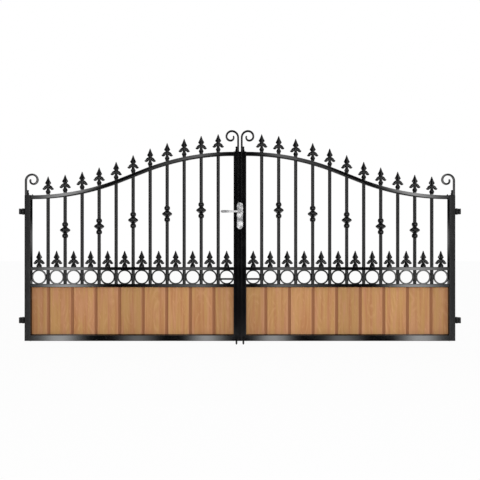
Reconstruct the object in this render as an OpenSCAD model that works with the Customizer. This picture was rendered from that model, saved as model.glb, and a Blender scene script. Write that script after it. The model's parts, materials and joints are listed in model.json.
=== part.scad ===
// Double-leaf driveway gate: steel frames with boards below, a row of rings,
// round bars with collars, and an arched top rail with spear finials.
// The origin is on the post face of the lower left hinge bracket, at its centre.
// X runs along the closed gate, +Y runs away from the front and +Z is up.

/* [Leaf] */
// Width of one leaf, over its two stiles
leaf_w = 1508; // [1300:1:1800]
// Height of a leaf at its hinge stile
hinge_side_h = 1023; // [900:1:1200]
// How much higher the leaf is at its closing stile
top_rise = 306; // [150:1:420]
// Straight length between the two bends of the top rail
top_straight = 178; // [60:1:300]
// Gap between the two closed leaves
centre_gap = 8; // [6:0.5:15]
// Gap between a post face and a leaf
post_gap = 44; // [42:0.5:60]

/* [Frame sections] */
// Side of the square tube of the stiles and the bottom rail
box = 40; // [30:1:60]
// Side of the square bar of the top rail
top_bar = 25; // [20:1:30]
// Height of the rail above the boards
panel_rail_h = 20; // [15:1:40]
// Height of the rail above the rings
ring_rail_h = 20; // [15:1:40]
// Depth of the two middle rails
mid_rail_d = 30; // [24:1:40]
// Height of the rail above the boards, from the leaf's bottom to its top face
panel_rail_top = 398; // [300:1:500]

/* [Boards] */
// Thickness of the boards
board_t = 12; // [10:1:20]
// How far the boards' back lies in from the frame's back
board_inset = 0; // [0:0.5:8]
// Number of boards in a leaf
board_count = 9; // [6:1:12]
// Width of the board at the hinge stile, which is cut narrower than the rest
first_board_w = 119; // [90:1:150]
// Width of the board at the closing stile; the boards between share what is left
last_board_w = 139.6; // [100:0.1:160]
// Width of the V groove between two boards
groove_w = 20; // [4:0.5:24]
// Depth of the V groove
groove_d = 6; // [1:0.5:7]
// Height and depth of the bead along the boards' foot
bead = 7; // [4:0.5:12]

/* [Bars and rings] */
// Diameter of an upright bar
bar_d = 21; // [14:0.5:22]
// Number of upright bars in a leaf
bar_count = 11; // [7:1:13]
// How much wider the bay at the hinge stile is than the other bays
first_bay_extra = 8; // [0:1:30]
// Width of the flat strip that a ring is rolled from
ring_t = 6.5; // [4:0.5:10]
// Depth of the ring strip
ring_d = 10; // [8:1:24]
// Diameter of a collar's disc
collar_d = 70; // [50:1:80]
// Height of a collar's disc
collar_h = 36; // [20:1:44]
// Diameter of the bulb above and below a collar's disc
bulb_d = 40; // [28:1:48]
// Height of a bulb
bulb_h = 29; // [20:1:36]
// Distance from a collar's disc to the middle of its bulbs
bulb_off = 40.5; // [34:0.5:50]
// A collar's height, as the share of the way up from the ring rail to the top rail
collar_at = 0.515; // [0.3:0.005:0.7]

/* [Finials] */
// Height of a finial above the rail that carries it
finial_h = 126; // [110:1:150]
// Width of the spear's blade
blade_w = 40; // [26:1:46]
// Thickness of the spear's blade along its middle ridge
blade_t = 16; // [10:1:24]
// Reach of a curled arm from the finial's middle
arm_reach = 40; // [34:0.5:46]
// Thickness of the curled arms, front to back
arm_t = 10; // [6:0.5:14]
// Diameter of the knob below the arms
knob_d = 35; // [26:0.5:40]

/* [Scrolls] */
// Thickness of the scroll's bar, seen from the front
scroll_t = 9.5; // [6:0.5:14]
// Depth of the scroll's bar
scroll_d = 12; // [10:1:30]
// Height at which the scroll leaves its upright
scroll_rise = 102; // [80:1:140]
// Radius of the first quarter of the scroll, at its middle line
scroll_r = 47; // [40:0.5:60]
// How far a closing scroll stands in from the leaf's closing edge
scroll_inset = 2; // [0:0.5:8]
// How far a scroll stands in front of the frame's middle plane
scroll_front = 8; // [0:1:14]
// Height of the block at a scroll's foot
foot_h = 38; // [24:1:50]
// Width of the block at a scroll's foot
foot_w = 13; // [8:1:18]

/* [Hinges] */
// Distance from the leaf's bottom to the lower hinge
hinge_low = 143; // [100:1:250]
// Distance from the upper hinge up to the leaf's top at its hinge stile
hinge_top = 113; // [80:1:300]
// Distance from the post face to the hinge pin
pin_off = 26; // [24:0.5:32]
// Diameter of the hinge pin
pin_d = 12; // [8:0.5:12]
// Height of the hinge bracket
bracket_h = 40; // [36:1:60]
// Thickness of the bracket's plate
bracket_t = 12; // [6:0.5:13]
// How far the bracket's plate reaches behind the pin
plate_back = 68; // [56:1:90]
// Height of the plate's tail, which carries the fixing holes
tail_h = 24; // [20:1:36]
// Thickness of a bracket's ear
ear_t = 8; // [5:0.5:9]
// Width of a bracket's ear and diameter of the eye on the pin
eye_d = 19; // [17:0.5:21]
// Diameter of the eye bolt's shank
shank_d = 12; // [8:0.5:13]
// Thickness of the eye bolt's nut
nut_t = 6; // [4:0.5:6.5]
// Width across the flats of the nut
nut_af = 20; // [16:0.5:24]
// Diameter of a fixing hole in the bracket's plate
fix_d = 11; // [8:0.5:13]
// Distance between the two fixing holes of a plate
fix_pitch = 30; // [24:0.5:34]

/* [Lock and stop strip] */
// Width of the stop strip over the gap between the leaves
strip_w = 30; // [26:1:40]
// Thickness of the stop strip's lip
strip_lip_t = 5; // [3:0.5:8]
// Gap between the lip and the other leaf
strip_gap = 5; // [5:0.5:8]
// Height of the stop strip's foot above the leaf's bottom
strip_foot = 12; // [0:1:40]
// Height of the lock plate
plate_h = 186; // [160:1:260]
// Width of the lock plate
plate_w = 42; // [34:1:50]
// Thickness of the lock plate
plate_t = 5; // [3:0.5:10]
// Height of the lever above the leaf's bottom
lever_z = 910; // [850:1:960]
// Distance from the lever down to the lock cylinder
cylinder_drop = 81; // [72:1:92]
// Length of the lever from its spindle to its tip
lever_l = 133; // [100:1:150]
// How far the lever stands out from its plate
lever_out = 48; // [35:1:65]

/* [Drop bolts] */
// Diameter of a drop bolt's rod
rod_d = 12; // [8:0.5:14]
// How far the rod reaches below the leaf
rod_drop = 32; // [10:0.5:60]
// Height of the bolt's handle above the leaf's bottom
handle_z = 432; // [425:1:470]
// Length of the bolt's handle
handle_l = 122; // [80:1:140]
// Inner gap between the rod and the stile's back
rod_gap = 3; // [2:0.5:8]
// Height of a guide for the rod
guide_h = 20; // [12:1:30]
// Wall of a guide around the rod
guide_wall = 5; // [3:0.5:8]

/* [Clearances] */
// Gap at a welded or bedded joint
seat = 0.2; // [0.1:0.05:0.5]
// Running gap around the hinge pin, on the radius
pin_gap = 0.06; // [0.02:0.01:0.1]
// Gap between the eye and each ear of its bracket
ear_gap = 0.4; // [0.3:0.05:1]
// Gap around a sliding rod, on the radius
rod_fit = 0.6; // [0.4:0.1:1.5]

/* [Hidden] */

$fn = 48;
bend_steps = 24;
slim_fn = 24;
bite = 1;
black = [0.09, 0.09, 0.1];
oak = [0.73, 0.54, 0.37];
satin = [0.72, 0.73, 0.74];

span = 2 * (post_gap + leaf_w) + centre_gap;
eye_off = post_gap - pin_off;
hinge_span = hinge_side_h - hinge_low - hinge_top;
pin_r = pin_d / 2;
eye_r = eye_d / 2;
eye_h = bracket_h - 2 * (ear_t + ear_gap);
fix_mid = (eye_r + plate_back) / 2;

// Places along a leaf, from its hinge edge
clear_l = box;
clear_r = leaf_w - box;
clear_w = clear_r - clear_l;
bay_w = (clear_w - first_bay_extra - bar_count * bar_d) / (bar_count + 1);
bar_pitch = bay_w + bar_d;
function bar_u(i) = clear_r - bay_w - bar_d / 2 - (bar_count - 1 - i) * bar_pitch;
function bay_left(i) = i == 0 ? clear_l : bar_u(i - 1) + bar_d / 2;
function bay_right(i) = i == bar_count ? clear_r : bar_u(i) - bar_d / 2;
function bay_u(i) = (bay_left(i) + bay_right(i)) / 2;

// Heights in a leaf, from its bottom
ring_rail_bottom = panel_rail_top + bay_w;
ring_rail_top = ring_rail_bottom + ring_rail_h;
board_bottom = box + seat;
board_top = panel_rail_top - panel_rail_h - seat;
closing_side_h = hinge_side_h + top_rise;

// The top rail's middle line: a bend up, a straight, and a bend back to level
top_slope = 2 * atan(top_rise / (clear_w + top_straight));
bend_r = (clear_w * sin(top_slope) - top_rise * cos(top_slope)) / (2 * (1 - cos(top_slope)));
top_mid_low = hinge_side_h - top_bar / 2;
top_mid_high = closing_side_h - top_bar / 2;
low_bend = [clear_l, top_mid_low + bend_r];
high_bend = [clear_r, top_mid_high - bend_r];
bend_run = bend_r * sin(top_slope);

function top_mid(u) =
  u < clear_l + bend_run ? low_bend[1] - sqrt(pow(bend_r, 2) - pow(u - clear_l, 2)) :
  u > clear_r - bend_run ? high_bend[1] + sqrt(pow(bend_r, 2) - pow(clear_r - u, 2)) :
  top_mid(clear_l + bend_run - 0.001) + (u - clear_l - bend_run) * tan(top_slope);

// Rings and collars
ring_od = bay_w - 2 * seat;
ring_z = panel_rail_top + bay_w / 2;

// Boards
board_back = box / 2 - board_inset;
board_front = board_back - board_t;
board_w = (clear_w - 2 * seat - first_board_w - last_board_w) / (board_count - 2);
function joint_u(i) = clear_l + seat + first_board_w + i * board_w;

// Drop bolt
rod_r = rod_d / 2;
rod_y = box / 2 + rod_gap + rod_r;
elbow_r = rod_d + 3;
upper_guide_z = handle_z - elbow_r - guide_h - 2 * seat;
lower_guide_z = box;
guide_w = rod_d + 2 * (rod_fit + guide_wall);

// Lock
strip_back = -box / 2;
strip_front = strip_back - strip_gap - strip_lip_t;
plate_front = strip_front - plate_t;
lock_x = span / 2;
lock_z = lever_z - cylinder_drop + plate_h / 2 - 43;

module left_leaf() {
  translate([post_gap, 0, -hinge_low]) children();
}

module right_leaf() {
  translate([span, 0, 0]) mirror([1, 0, 0]) left_leaf() children();
}

// Extrudes an outline drawn in leaf width and height, centred on the leaf's middle plane
module upright_slab(depth) {
  translate([0, depth / 2, 0]) rotate([90, 0, 0]) linear_extrude(height = depth) children();
}

// Points along the top rail's middle line, at an offset above it
function top_line(offset) = concat(
  [for (k = [0 : bend_steps]) let (a = top_slope * k / bend_steps)
    low_bend + (bend_r - offset) * [sin(a), -cos(a)]],
  [for (k = [bend_steps : -1 : 0]) let (a = top_slope * k / bend_steps)
    high_bend + (bend_r + offset) * [-sin(a), cos(a)]]
);

function reversed(points) = [for (k = [len(points) - 1 : -1 : 0]) points[k]];

// Solid between two offsets from the top rail's middle line
module top_band(low, high, depth) {
  upright_slab(depth) polygon(concat(top_line(low), reversed(top_line(high))));
}

// Hinges

module hinge_bracket() {
  color(black) difference() {
    union() {
      translate([0, -eye_r - 2.5, -bracket_h / 2]) cube([bracket_t, 2 * eye_r + 2.5, bracket_h]);
      translate([0, 0, -tail_h / 2]) cube([bracket_t, plate_back - tail_h / 2, tail_h]);
      translate([0, plate_back - tail_h / 2, 0]) rotate([0, 90, 0]) cylinder(d = tail_h, h = bracket_t);
      for (side = [-1, 1]) translate([0, 0, side * (bracket_h - ear_t) / 2]) {
        translate([bracket_t - bite, -eye_r, -ear_t / 2])
          cube([pin_off - bracket_t + bite, eye_d, ear_t]);
        translate([pin_off, 0, 0]) cylinder(r = eye_r, h = ear_t, center = true);
      }
      translate([pin_off, 0, 0]) cylinder(r = pin_r, h = bracket_h, center = true);
    }
    for (side = [-1, 1]) translate([-bite, fix_mid + side * fix_pitch / 2, 0])
      rotate([0, 90, 0]) cylinder(d = fix_d, h = bracket_t + 2 * bite);
  }
}

module hinge_eye() {
  color(black) translate([-eye_off, 0, hinge_low]) {
    difference() {
      union() {
        cylinder(r = eye_r, h = eye_h, center = true);
        rotate([0, 90, 0]) cylinder(d = shank_d, h = eye_off - seat);
      }
      cylinder(r = pin_r + pin_gap, h = eye_h + 2 * bite, center = true);
    }
    translate([eye_off - nut_t - seat, 0, 0]) rotate([0, 90, 0]) difference() {
      cylinder(d = nut_af / cos(30), h = nut_t, $fn = 6);
      translate([0, 0, -bite]) cylinder(d = shank_d + 2 * seat, h = nut_t + 2 * bite);
    }
  }
}

// Frame

module hinge_stile() {
  color(black) translate([0, -box / 2, 0]) cube([box, box, hinge_side_h]);
}

module closing_stile() {
  color(black) translate([clear_r, -box / 2, 0]) cube([box, box, closing_side_h]);
}

module bottom_rail() {
  color(black) translate([clear_l + seat, -box / 2, 0]) cube([clear_w - 2 * seat, box, box]);
}

module panel_rail() {
  color(black) translate([clear_l + seat, -mid_rail_d / 2, panel_rail_top - panel_rail_h])
    cube([clear_w - 2 * seat, mid_rail_d, panel_rail_h]);
}

module ring_rail() {
  color(black) difference() {
    translate([clear_l + seat, -mid_rail_d / 2, ring_rail_bottom])
      cube([clear_w - 2 * seat, mid_rail_d, ring_rail_h]);
    for (i = [0 : bar_count - 1]) translate([bar_u(i), 0, ring_rail_bottom - bite])
      cylinder(d = bar_d + 2 * seat, h = ring_rail_h + 2 * bite);
  }
}

module top_rail() {
  color(black) intersection() {
    top_band(-top_bar / 2, top_bar / 2, top_bar);
    translate([clear_l + seat, -box, 0]) cube([clear_w - 2 * seat, 2 * box, 2 * closing_side_h]);
  }
}

// Boards

module boards() {
  color(oak) difference() {
    translate([clear_l + seat, board_front, board_bottom])
      cube([clear_w - 2 * seat, board_t, board_top - board_bottom]);
    for (i = [0 : board_count - 2]) translate([joint_u(i), 0, board_bottom - bite])
      linear_extrude(height = board_top - board_bottom + 2 * bite)
        polygon([[-groove_w / 2, board_front - 0.01], [0, board_front + groove_d], [groove_w / 2, board_front - 0.01]]);
  }
}

module board_bead() {
  color(black) translate([clear_l + seat, board_front - bead - seat, box])
    cube([clear_w - 2 * seat, bead, bead]);
}

// Bars and rings

module bar_profile() {
  square([bar_d / 2, 1]);
}

// A bar from the panel rail to the underside of the top rail
module bar(i) {
  translate([bar_u(i), 0, panel_rail_top + seat])
    cylinder(d = bar_d, h = top_mid(bar_u(i)) - panel_rail_top - seat);
}

// Double-cone disc with a bulb above and below it, turned around a bar
module collar() {
  rotate_extrude() intersection() {
    union() {
      polygon([[0, -bulb_off - bulb_h / 2 + 3], [bulb_d / 3, -bulb_off], [bar_d / 2 + 3, -collar_h / 2], [collar_d / 2, -1.5],
               [collar_d / 2, 1.5], [bar_d / 2 + 3, collar_h / 2], [bulb_d / 3, bulb_off], [0, bulb_off + bulb_h / 2 - 3]]);
      for (side = [-1, 1]) translate([(bulb_d - bulb_h) / 2, side * bulb_off]) circle(d = bulb_h);
    }
    translate([0, -2 * bulb_off]) square([collar_d, 4 * bulb_off]);
  }
}

module bars_under_rail(first) {
  color(black) difference() {
    for (i = [first : 2 : bar_count - 1]) {
      bar(i);
      if (first == 1)
        translate([bar_u(i), 0, ring_rail_top + collar_at * (top_mid(bar_u(i)) - ring_rail_top)]) collar();
    }
    top_band(-top_bar / 2 - seat, top_bar / 2, 2 * box);
  }
}

module rings() {
  color(black) for (i = [0 : bar_count]) translate([bay_u(i), 0, ring_z]) rotate([90, 0, 0]) difference() {
    cylinder(d = ring_od, h = ring_d, center = true);
    cylinder(d = ring_od - 2 * ring_t, h = ring_d + 2 * bite, center = true);
  }
}

// Finials

// Heights of a finial's parts, from the foot of its neck
knob_z = 21;
waist_z = 40;
arm_z = 49;
blade_z = 64;

module finial_stem() {
  rotate_extrude($fn = slim_fn) polygon([
    [0, -12], [bar_d / 2, -12], [bar_d / 2, 6], [knob_d / 2 - 2, knob_z - 6], [knob_d / 2, knob_z],
    [knob_d / 2 - 3, knob_z + 6], [6.5, waist_z], [6, blade_z - 8], [7.5, blade_z], [0, blade_z + 4]
  ]);
}

module finial_arm() {
  curl_r = 17;
  arm_w = 13;
  reach = arm_reach - 27;
  intersection() {
    translate([reach, arm_z]) difference() {
      circle(r = curl_r);
      circle(r = curl_r - arm_w);
    }
    translate([0, arm_z - 8.5]) square([2 * arm_reach, 2 * curl_r]);
  }
  translate([reach + 10, arm_z - 6.5]) circle(r = 6);
  polygon([[reach + 8, arm_z - 12], [arm_reach, arm_z - 4], [arm_reach - 1, arm_z - 2], [reach + 13, arm_z + 3]]);
}

// Outline that is symmetric about its middle: steps of height and share of its half width
module pointed_outline(half, steps) {
  count = len(steps);
  polygon(concat(
    [for (s = steps) [half * s[1], s[0]]],
    [for (k = [count - 1 : -1 : 0]) if (steps[k][1] > 0) [-half * steps[k][1], steps[k][0]]]
  ));
}

// Spear blade: its front and side outlines, and a diamond section that leaves a middle ridge
module finial_blade() {
  front = [[blade_z, 0.36], [blade_z + 6, 0.62], [blade_z + 18, 1], [blade_z + 31, 0.64],
           [blade_z + 43, 0.36], [finial_h, 0]];
  edge = [[blade_z, 0.7], [blade_z + 18, 1], [blade_z + 43, 0.6], [finial_h, 0]];
  intersection() {
    upright_slab(2 * blade_t) pointed_outline(blade_w / 2, front);
    rotate([0, 0, 90]) upright_slab(2 * blade_w) pointed_outline(blade_t / 2, edge);
    translate([0, 0, blade_z]) linear_extrude(height = finial_h - blade_z)
      polygon([[blade_w / 2 + 1, 0], [0, blade_t / 2 + 0.5], [-blade_w / 2 - 1, 0], [0, -blade_t / 2 - 0.5]]);
  }
}

module finial() {
  finial_stem();
  for (side = [0, 1]) mirror([side, 0, 0]) upright_slab(arm_t) finial_arm();
  finial_blade();
}

module top_finials() {
  color(black) difference() {
    for (i = [0 : bar_count - 1])
      translate([bar_u(i), 0, top_mid(bar_u(i)) + top_bar / 2]) finial();
    top_band(-top_bar, top_bar / 2 + seat, 2 * box);
  }
}

ring_finial_drop = 14;

module ring_finials() {
  color(black) difference() {
    for (i = [0 : bar_count]) translate([bay_u(i), 0, ring_rail_top - ring_finial_drop]) finial();
    translate([0, -box, ring_rail_top + seat - 2 * box]) cube([leaf_w, 2 * box, 2 * box]);
  }
}

// Scrolls

// Points of one turn of the scroll about a centre, after its starting point
function turn(centre, r, from, to) = [for (k = [1 : bend_steps])
  let (a = from + (to - from) * k / bend_steps) centre + r * [cos(a), sin(a)]];

// One edge of the scroll's bar, from the top of its upright to its end
function scroll_edge(side) =
  let (r = [scroll_r, scroll_r - 6, scroll_r - 13, scroll_r - 23],
       half = side * scroll_t / 2,
       c0 = [scroll_t / 2 + r[0], scroll_rise],
       c1 = c0 + [0, r[0] - r[1]],
       c2 = c1 + [r[1] - r[2], 0],
       c3 = c2 + [0, r[3] - r[2]])
  concat([c0 - [r[0] + half, 0]], turn(c0, r[0] + half, 180, 90), turn(c1, r[1] + half, 90, 0),
         turn(c2, r[2] + half, 0, -90), turn(c3, r[3] + half, -90, -200));

// Rounded end between the last points of the two edges
function scroll_end(outer, inner) =
  let (mid = (outer + inner) / 2, across = outer - mid, along = [across[1], -across[0]])
  [for (k = [1 : 7]) let (a = 180 * k / 8) mid + cos(a) * across + sin(a) * along];

// Side of the block at the scroll's foot, as shares of its width and height
foot_shape = [[0.45, 1], [0.72, 0.97], [0.8, 0.88], [0.72, 0.78], [0.62, 0.7], [0.62, 0.6], [0.72, 0.5],
              [0.84, 0.4], [0.86, 0.3], [0.8, 0.2], [0.95, 0.12], [1, 0]];

// Scroll on a stile's top, curling away from the stile's outer edge
module scroll() {
  outer = scroll_edge(1);
  inner = scroll_edge(-1);
  upright_slab(scroll_d) polygon(concat(
    [[0, seat]], outer, scroll_end(outer[len(outer) - 1], inner[len(inner) - 1]), reversed(inner),
    [[scroll_t, foot_h]], [for (s = foot_shape) [scroll_t + foot_w * s[0], seat + (foot_h - seat) * s[1]]]
  ));
}

module hinge_scroll() {
  color(black) translate([0, -scroll_front, hinge_side_h]) scroll();
}

module closing_scroll() {
  color(black) translate([leaf_w - scroll_inset, -scroll_front, closing_side_h]) mirror([1, 0, 0]) scroll();
}

// Drop bolts

module guide(z) {
  translate([leaf_w - box / 2, box / 2 + seat, z]) difference() {
    translate([-guide_w / 2, 0, 0]) cube([guide_w, rod_y - box / 2 - seat + guide_w / 2, guide_h]);
    translate([0, rod_y - box / 2 - seat, -bite]) cylinder(r = rod_r + rod_fit, h = guide_h + 2 * bite);
  }
}

module bolt_guides() {
  color(black) {
    guide(lower_guide_z);
    guide(upper_guide_z);
  }
}

module drop_bolt() {
  color(black) translate([leaf_w - box / 2, rod_y, 0]) {
    translate([0, 0, -rod_drop]) cylinder(r1 = rod_r - 2, r2 = rod_r, h = 3);
    translate([0, 0, 3 - rod_drop]) cylinder(r = rod_r, h = handle_z - elbow_r + rod_drop - 3);
    translate([-elbow_r, 0, handle_z - elbow_r]) rotate([90, 0, 0]) rotate_extrude(angle = 90)
      translate([elbow_r, 0]) circle(r = rod_r);
    translate([-elbow_r, 0, handle_z]) rotate([0, -90, 0]) cylinder(r = rod_r, h = handle_l - elbow_r);
  }
}

// Lock and stop strip

module stop_strip() {
  half = strip_w / 2;
  color(black) translate([span / 2, 0, strip_foot - hinge_low])
    linear_extrude(height = closing_side_h - strip_foot)
      polygon([[-half, strip_back - seat], [-centre_gap / 2, strip_back - seat],
               [-centre_gap / 2, strip_back - strip_gap], [half, strip_back - strip_gap],
               [half, strip_front], [-half, strip_front]]);
}

module plate_outline() {
  straight = plate_h - plate_w;
  translate([-plate_w / 2, -straight / 2]) square([plate_w, straight]);
  for (side = [-1, 1]) translate([0, side * straight / 2]) circle(d = plate_w);
}

module lock_plate() {
  color(satin) translate([lock_x, strip_front - seat - plate_t / 2, lock_z - hinge_low])
    upright_slab(plate_t) plate_outline();
}

module lock_cylinder() {
  proud = 3;
  color(satin) translate([lock_x, plate_front - 2 * seat - proud / 2, lever_z - cylinder_drop - hinge_low])
    upright_slab(proud) difference() {
      union() {
        translate([0, 8]) circle(d = 17);
        translate([-5, -17]) square([10, 25]);
        translate([0, -17]) circle(d = 10);
      }
      translate([-1, 3]) square([2, 9]);
    }
}

module lever() {
  rose_t = 8;
  arm_d = 12;
  grip_d = 18;
  neck_d = 14;
  end_d = 18;
  color(satin) translate([lock_x, plate_front - 3 * seat, lever_z - hinge_low]) {
    rotate([90, 0, 0]) cylinder(d = 30, h = rose_t);
    rotate([90, 0, 0]) cylinder(d = 17, h = lever_out - arm_d / 2);
    translate([0, -lever_out + arm_d / 2, 0]) upright_slab(arm_d) {
      circle(d = grip_d);
      polygon([[0, grip_d / 2], [-lever_l / 2, neck_d / 2], [end_d / 2 - lever_l, end_d / 2],
               [end_d / 2 - lever_l, -end_d / 2], [-lever_l / 2, -neck_d / 2], [0, -grip_d / 2]]);
      translate([end_d / 2 - lever_l, 0]) circle(d = end_d);
    }
  }
}

hinge_bracket();  // left_lower_bracket
translate([0, 0, hinge_span]) hinge_bracket();  // left_upper_bracket
translate([span, 0, 0]) mirror([1, 0, 0]) hinge_bracket();  // right_lower_bracket
translate([span, 0, hinge_span]) mirror([1, 0, 0]) hinge_bracket();  // right_upper_bracket

left_leaf() hinge_eye();  // left_lower_eye
translate([0, 0, hinge_span]) left_leaf() hinge_eye();  // left_upper_eye
left_leaf() hinge_stile();  // left_hinge_stile
left_leaf() closing_stile();  // left_closing_stile
left_leaf() bottom_rail();  // left_bottom_rail
left_leaf() panel_rail();  // left_panel_rail
left_leaf() ring_rail();  // left_ring_rail
left_leaf() top_rail();  // left_top_rail
left_leaf() boards();  // left_boards
left_leaf() board_bead();  // left_bead
left_leaf() bars_under_rail(0);  // left_plain_bars
left_leaf() bars_under_rail(1);  // left_collar_bars
left_leaf() rings();  // left_rings
left_leaf() top_finials();  // left_top_finials
left_leaf() ring_finials();  // left_ring_finials
left_leaf() hinge_scroll();  // left_hinge_scroll
left_leaf() closing_scroll();  // left_closing_scroll
left_leaf() bolt_guides();  // left_bolt_guides
left_leaf() drop_bolt();  // left_drop_bolt

stop_strip();
lock_plate();
lock_cylinder();
lever();

right_leaf() hinge_eye();  // right_lower_eye
translate([0, 0, hinge_span]) right_leaf() hinge_eye();  // right_upper_eye
right_leaf() hinge_stile();  // right_hinge_stile
right_leaf() closing_stile();  // right_closing_stile
right_leaf() bottom_rail();  // right_bottom_rail
right_leaf() panel_rail();  // right_panel_rail
right_leaf() ring_rail();  // right_ring_rail
right_leaf() top_rail();  // right_top_rail
right_leaf() boards();  // right_boards
right_leaf() board_bead();  // right_bead
right_leaf() bars_under_rail(0);  // right_plain_bars
right_leaf() bars_under_rail(1);  // right_collar_bars
right_leaf() rings();  // right_rings
right_leaf() top_finials();  // right_top_finials
right_leaf() ring_finials();  // right_ring_finials
right_leaf() hinge_scroll();  // right_hinge_scroll
right_leaf() closing_scroll();  // right_closing_scroll
right_leaf() bolt_guides();  // right_bolt_guides
right_leaf() drop_bolt();  // right_drop_bolt
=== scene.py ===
# Double-leaf driveway gate: finished surfaces and fine forms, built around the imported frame.
# Leaf places are (u, y, z): u from the leaf's hinge edge, y away from the front, z from its foot.
import json
import math

import bmesh
import bpy
from mathutils import Matrix, Vector


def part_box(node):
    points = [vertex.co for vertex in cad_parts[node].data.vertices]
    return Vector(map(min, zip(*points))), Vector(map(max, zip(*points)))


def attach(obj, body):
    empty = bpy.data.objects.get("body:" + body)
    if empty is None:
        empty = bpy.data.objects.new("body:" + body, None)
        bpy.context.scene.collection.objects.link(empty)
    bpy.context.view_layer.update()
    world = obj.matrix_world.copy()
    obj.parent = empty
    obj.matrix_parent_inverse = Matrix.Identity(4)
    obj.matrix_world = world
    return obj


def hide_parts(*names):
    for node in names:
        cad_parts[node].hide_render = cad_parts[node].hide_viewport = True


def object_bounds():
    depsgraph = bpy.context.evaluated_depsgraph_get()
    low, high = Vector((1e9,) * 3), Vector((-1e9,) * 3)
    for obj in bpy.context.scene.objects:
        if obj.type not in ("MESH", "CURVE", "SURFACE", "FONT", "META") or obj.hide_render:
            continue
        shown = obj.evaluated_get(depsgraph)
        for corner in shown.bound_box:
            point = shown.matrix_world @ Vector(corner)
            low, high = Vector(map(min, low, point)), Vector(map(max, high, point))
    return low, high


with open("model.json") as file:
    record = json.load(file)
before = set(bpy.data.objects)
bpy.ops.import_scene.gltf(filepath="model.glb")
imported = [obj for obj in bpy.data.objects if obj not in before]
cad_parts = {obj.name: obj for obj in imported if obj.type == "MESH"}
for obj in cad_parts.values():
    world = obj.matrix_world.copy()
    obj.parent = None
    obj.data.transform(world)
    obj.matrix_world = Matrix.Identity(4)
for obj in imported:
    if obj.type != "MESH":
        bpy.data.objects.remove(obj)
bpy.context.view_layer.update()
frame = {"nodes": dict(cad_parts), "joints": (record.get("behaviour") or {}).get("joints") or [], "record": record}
scene = bpy.context.scene
mm = 0.001
# places closer together than this count as one
hairline = 0.000001
print("frame loaded:", len(frame["nodes"]), "nodes")


# Shader and geometry nodes are all added through one class.

class Wire:
    # an output of a node, with the operators that add Math nodes to its tree
    def __init__(self, book, socket):
        self.book = book
        self.socket = socket

    def maths(self, operation, *others):
        return self.book.maths(operation, self, *others)

    def ranged(self, low, high):
        # runs from low to high while the wire runs from 0 to 1
        return low + (high - low) * self

    def __add__(self, other):
        return self.maths("ADD", other)

    def __sub__(self, other):
        return self.maths("SUBTRACT", other)

    def __rsub__(self, other):
        return self.book.maths("SUBTRACT", other, self)

    def __mul__(self, other):
        return self.maths("MULTIPLY", other)

    def __truediv__(self, other):
        return self.maths("DIVIDE", other)

    def __pow__(self, other):
        return self.maths("POWER", other)

    def __neg__(self):
        return self.maths("MULTIPLY", -1.0)

    def __abs__(self):
        return self.maths("ABSOLUTE")

    __radd__ = __add__
    __rmul__ = __mul__


class NodeBook:
    # one node tree, filled by one method
    def __init__(self, tree):
        self.tree = tree

    def add(self, kind, settings=None, sockets=None, out=0):
        node = self.tree.nodes.new(kind)
        for name, value in (settings or {}).items():
            setattr(node, name, value)
        for name, value in (sockets or {}).items():
            if isinstance(value, Wire):
                self.tree.links.new(value.socket, node.inputs[name])
            else:
                node.inputs[name].default_value = value
        wire = Wire(self, node.outputs[out] if len(node.outputs) else None)
        wire.node = node
        return wire

    def maths(self, operation, *values):
        return self.add("ShaderNodeMath", {"operation": operation}, dict(enumerate(values)))

    def coords(self, kind="Object"):
        return self.add("ShaderNodeTexCoord", out=kind)

    def place(self, scale=(1, 1, 1), shift=(0, 0, 0)):
        return self.add("ShaderNodeMapping", sockets={
            "Vector": self.coords(), "Scale": scale, "Location": shift})

    def noise(self, vector, scale, detail=2.0, rough=0.5):
        return self.add("ShaderNodeTexNoise", out="Fac", sockets={
            "Vector": vector, "Scale": scale, "Detail": detail, "Roughness": rough})

    def between(self, value, low, high):
        return self.add("ShaderNodeMapRange", {"interpolation_type": "SMOOTHSTEP"},
                        {"Value": value, "From Min": low, "From Max": high})

    def mix(self, factor, a, b, blend="MIX"):
        settings = {"data_type": "RGBA", "blend_type": blend}
        return self.add("ShaderNodeMix", settings, {0: factor, 6: a, 7: b}, out=2)

    def bump(self, height, distance, strength):
        return self.add("ShaderNodeBump", sockets={
            "Height": height, "Distance": distance, "Strength": strength})

    def split(self, vector):
        node = self.add("ShaderNodeSeparateXYZ", sockets={0: vector}).node
        return [Wire(self, socket) for socket in node.outputs]

    def join(self, x, y, z):
        return self.add("ShaderNodeCombineXYZ", sockets={0: x, 1: y, 2: z})

    def rays(self):
        # whether a ray comes from the camera, straight or through glass, and whether it is a reflection
        path = self.add("ShaderNodeLightPath").node
        camera, through, shiny = (Wire(self, path.outputs[f"Is {kind} Ray"])
                                  for kind in ("Camera", "Transmission", "Glossy"))
        return camera.maths("MAXIMUM", through), shiny


def emptyBook(owner):
    # the cleared node tree of a material or a world
    owner.use_nodes = True
    owner.node_tree.nodes.clear()
    return NodeBook(owner.node_tree)


def rgb(red, green, blue):
    # a colour as it is seen on a screen, turned to the linear values that the shaders use
    return tuple(c / 12.92 if c <= 0.04045 else ((c + 0.055) / 1.055) ** 2.4 for c in
                 (red / 255, green / 255, blue / 255)) + (1.0,)


def newMaterial(name, sockets):
    # a material with its Principled BSDF; returns the material, its book and the shader's node
    material = bpy.data.materials.new(name)
    book = emptyBook(material)
    shader = book.add("ShaderNodeBsdfPrincipled", sockets=sockets)
    book.add("ShaderNodeOutputMaterial", sockets={"Surface": shader})
    return material, book, shader.node


def feed(book, shader, **wires):
    names = {"colour": "Base Color", "roughness": "Roughness", "normal": "Normal"}
    for key, wire in wires.items():
        book.tree.links.new(wire.socket, shader.inputs[names[key]])


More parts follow.
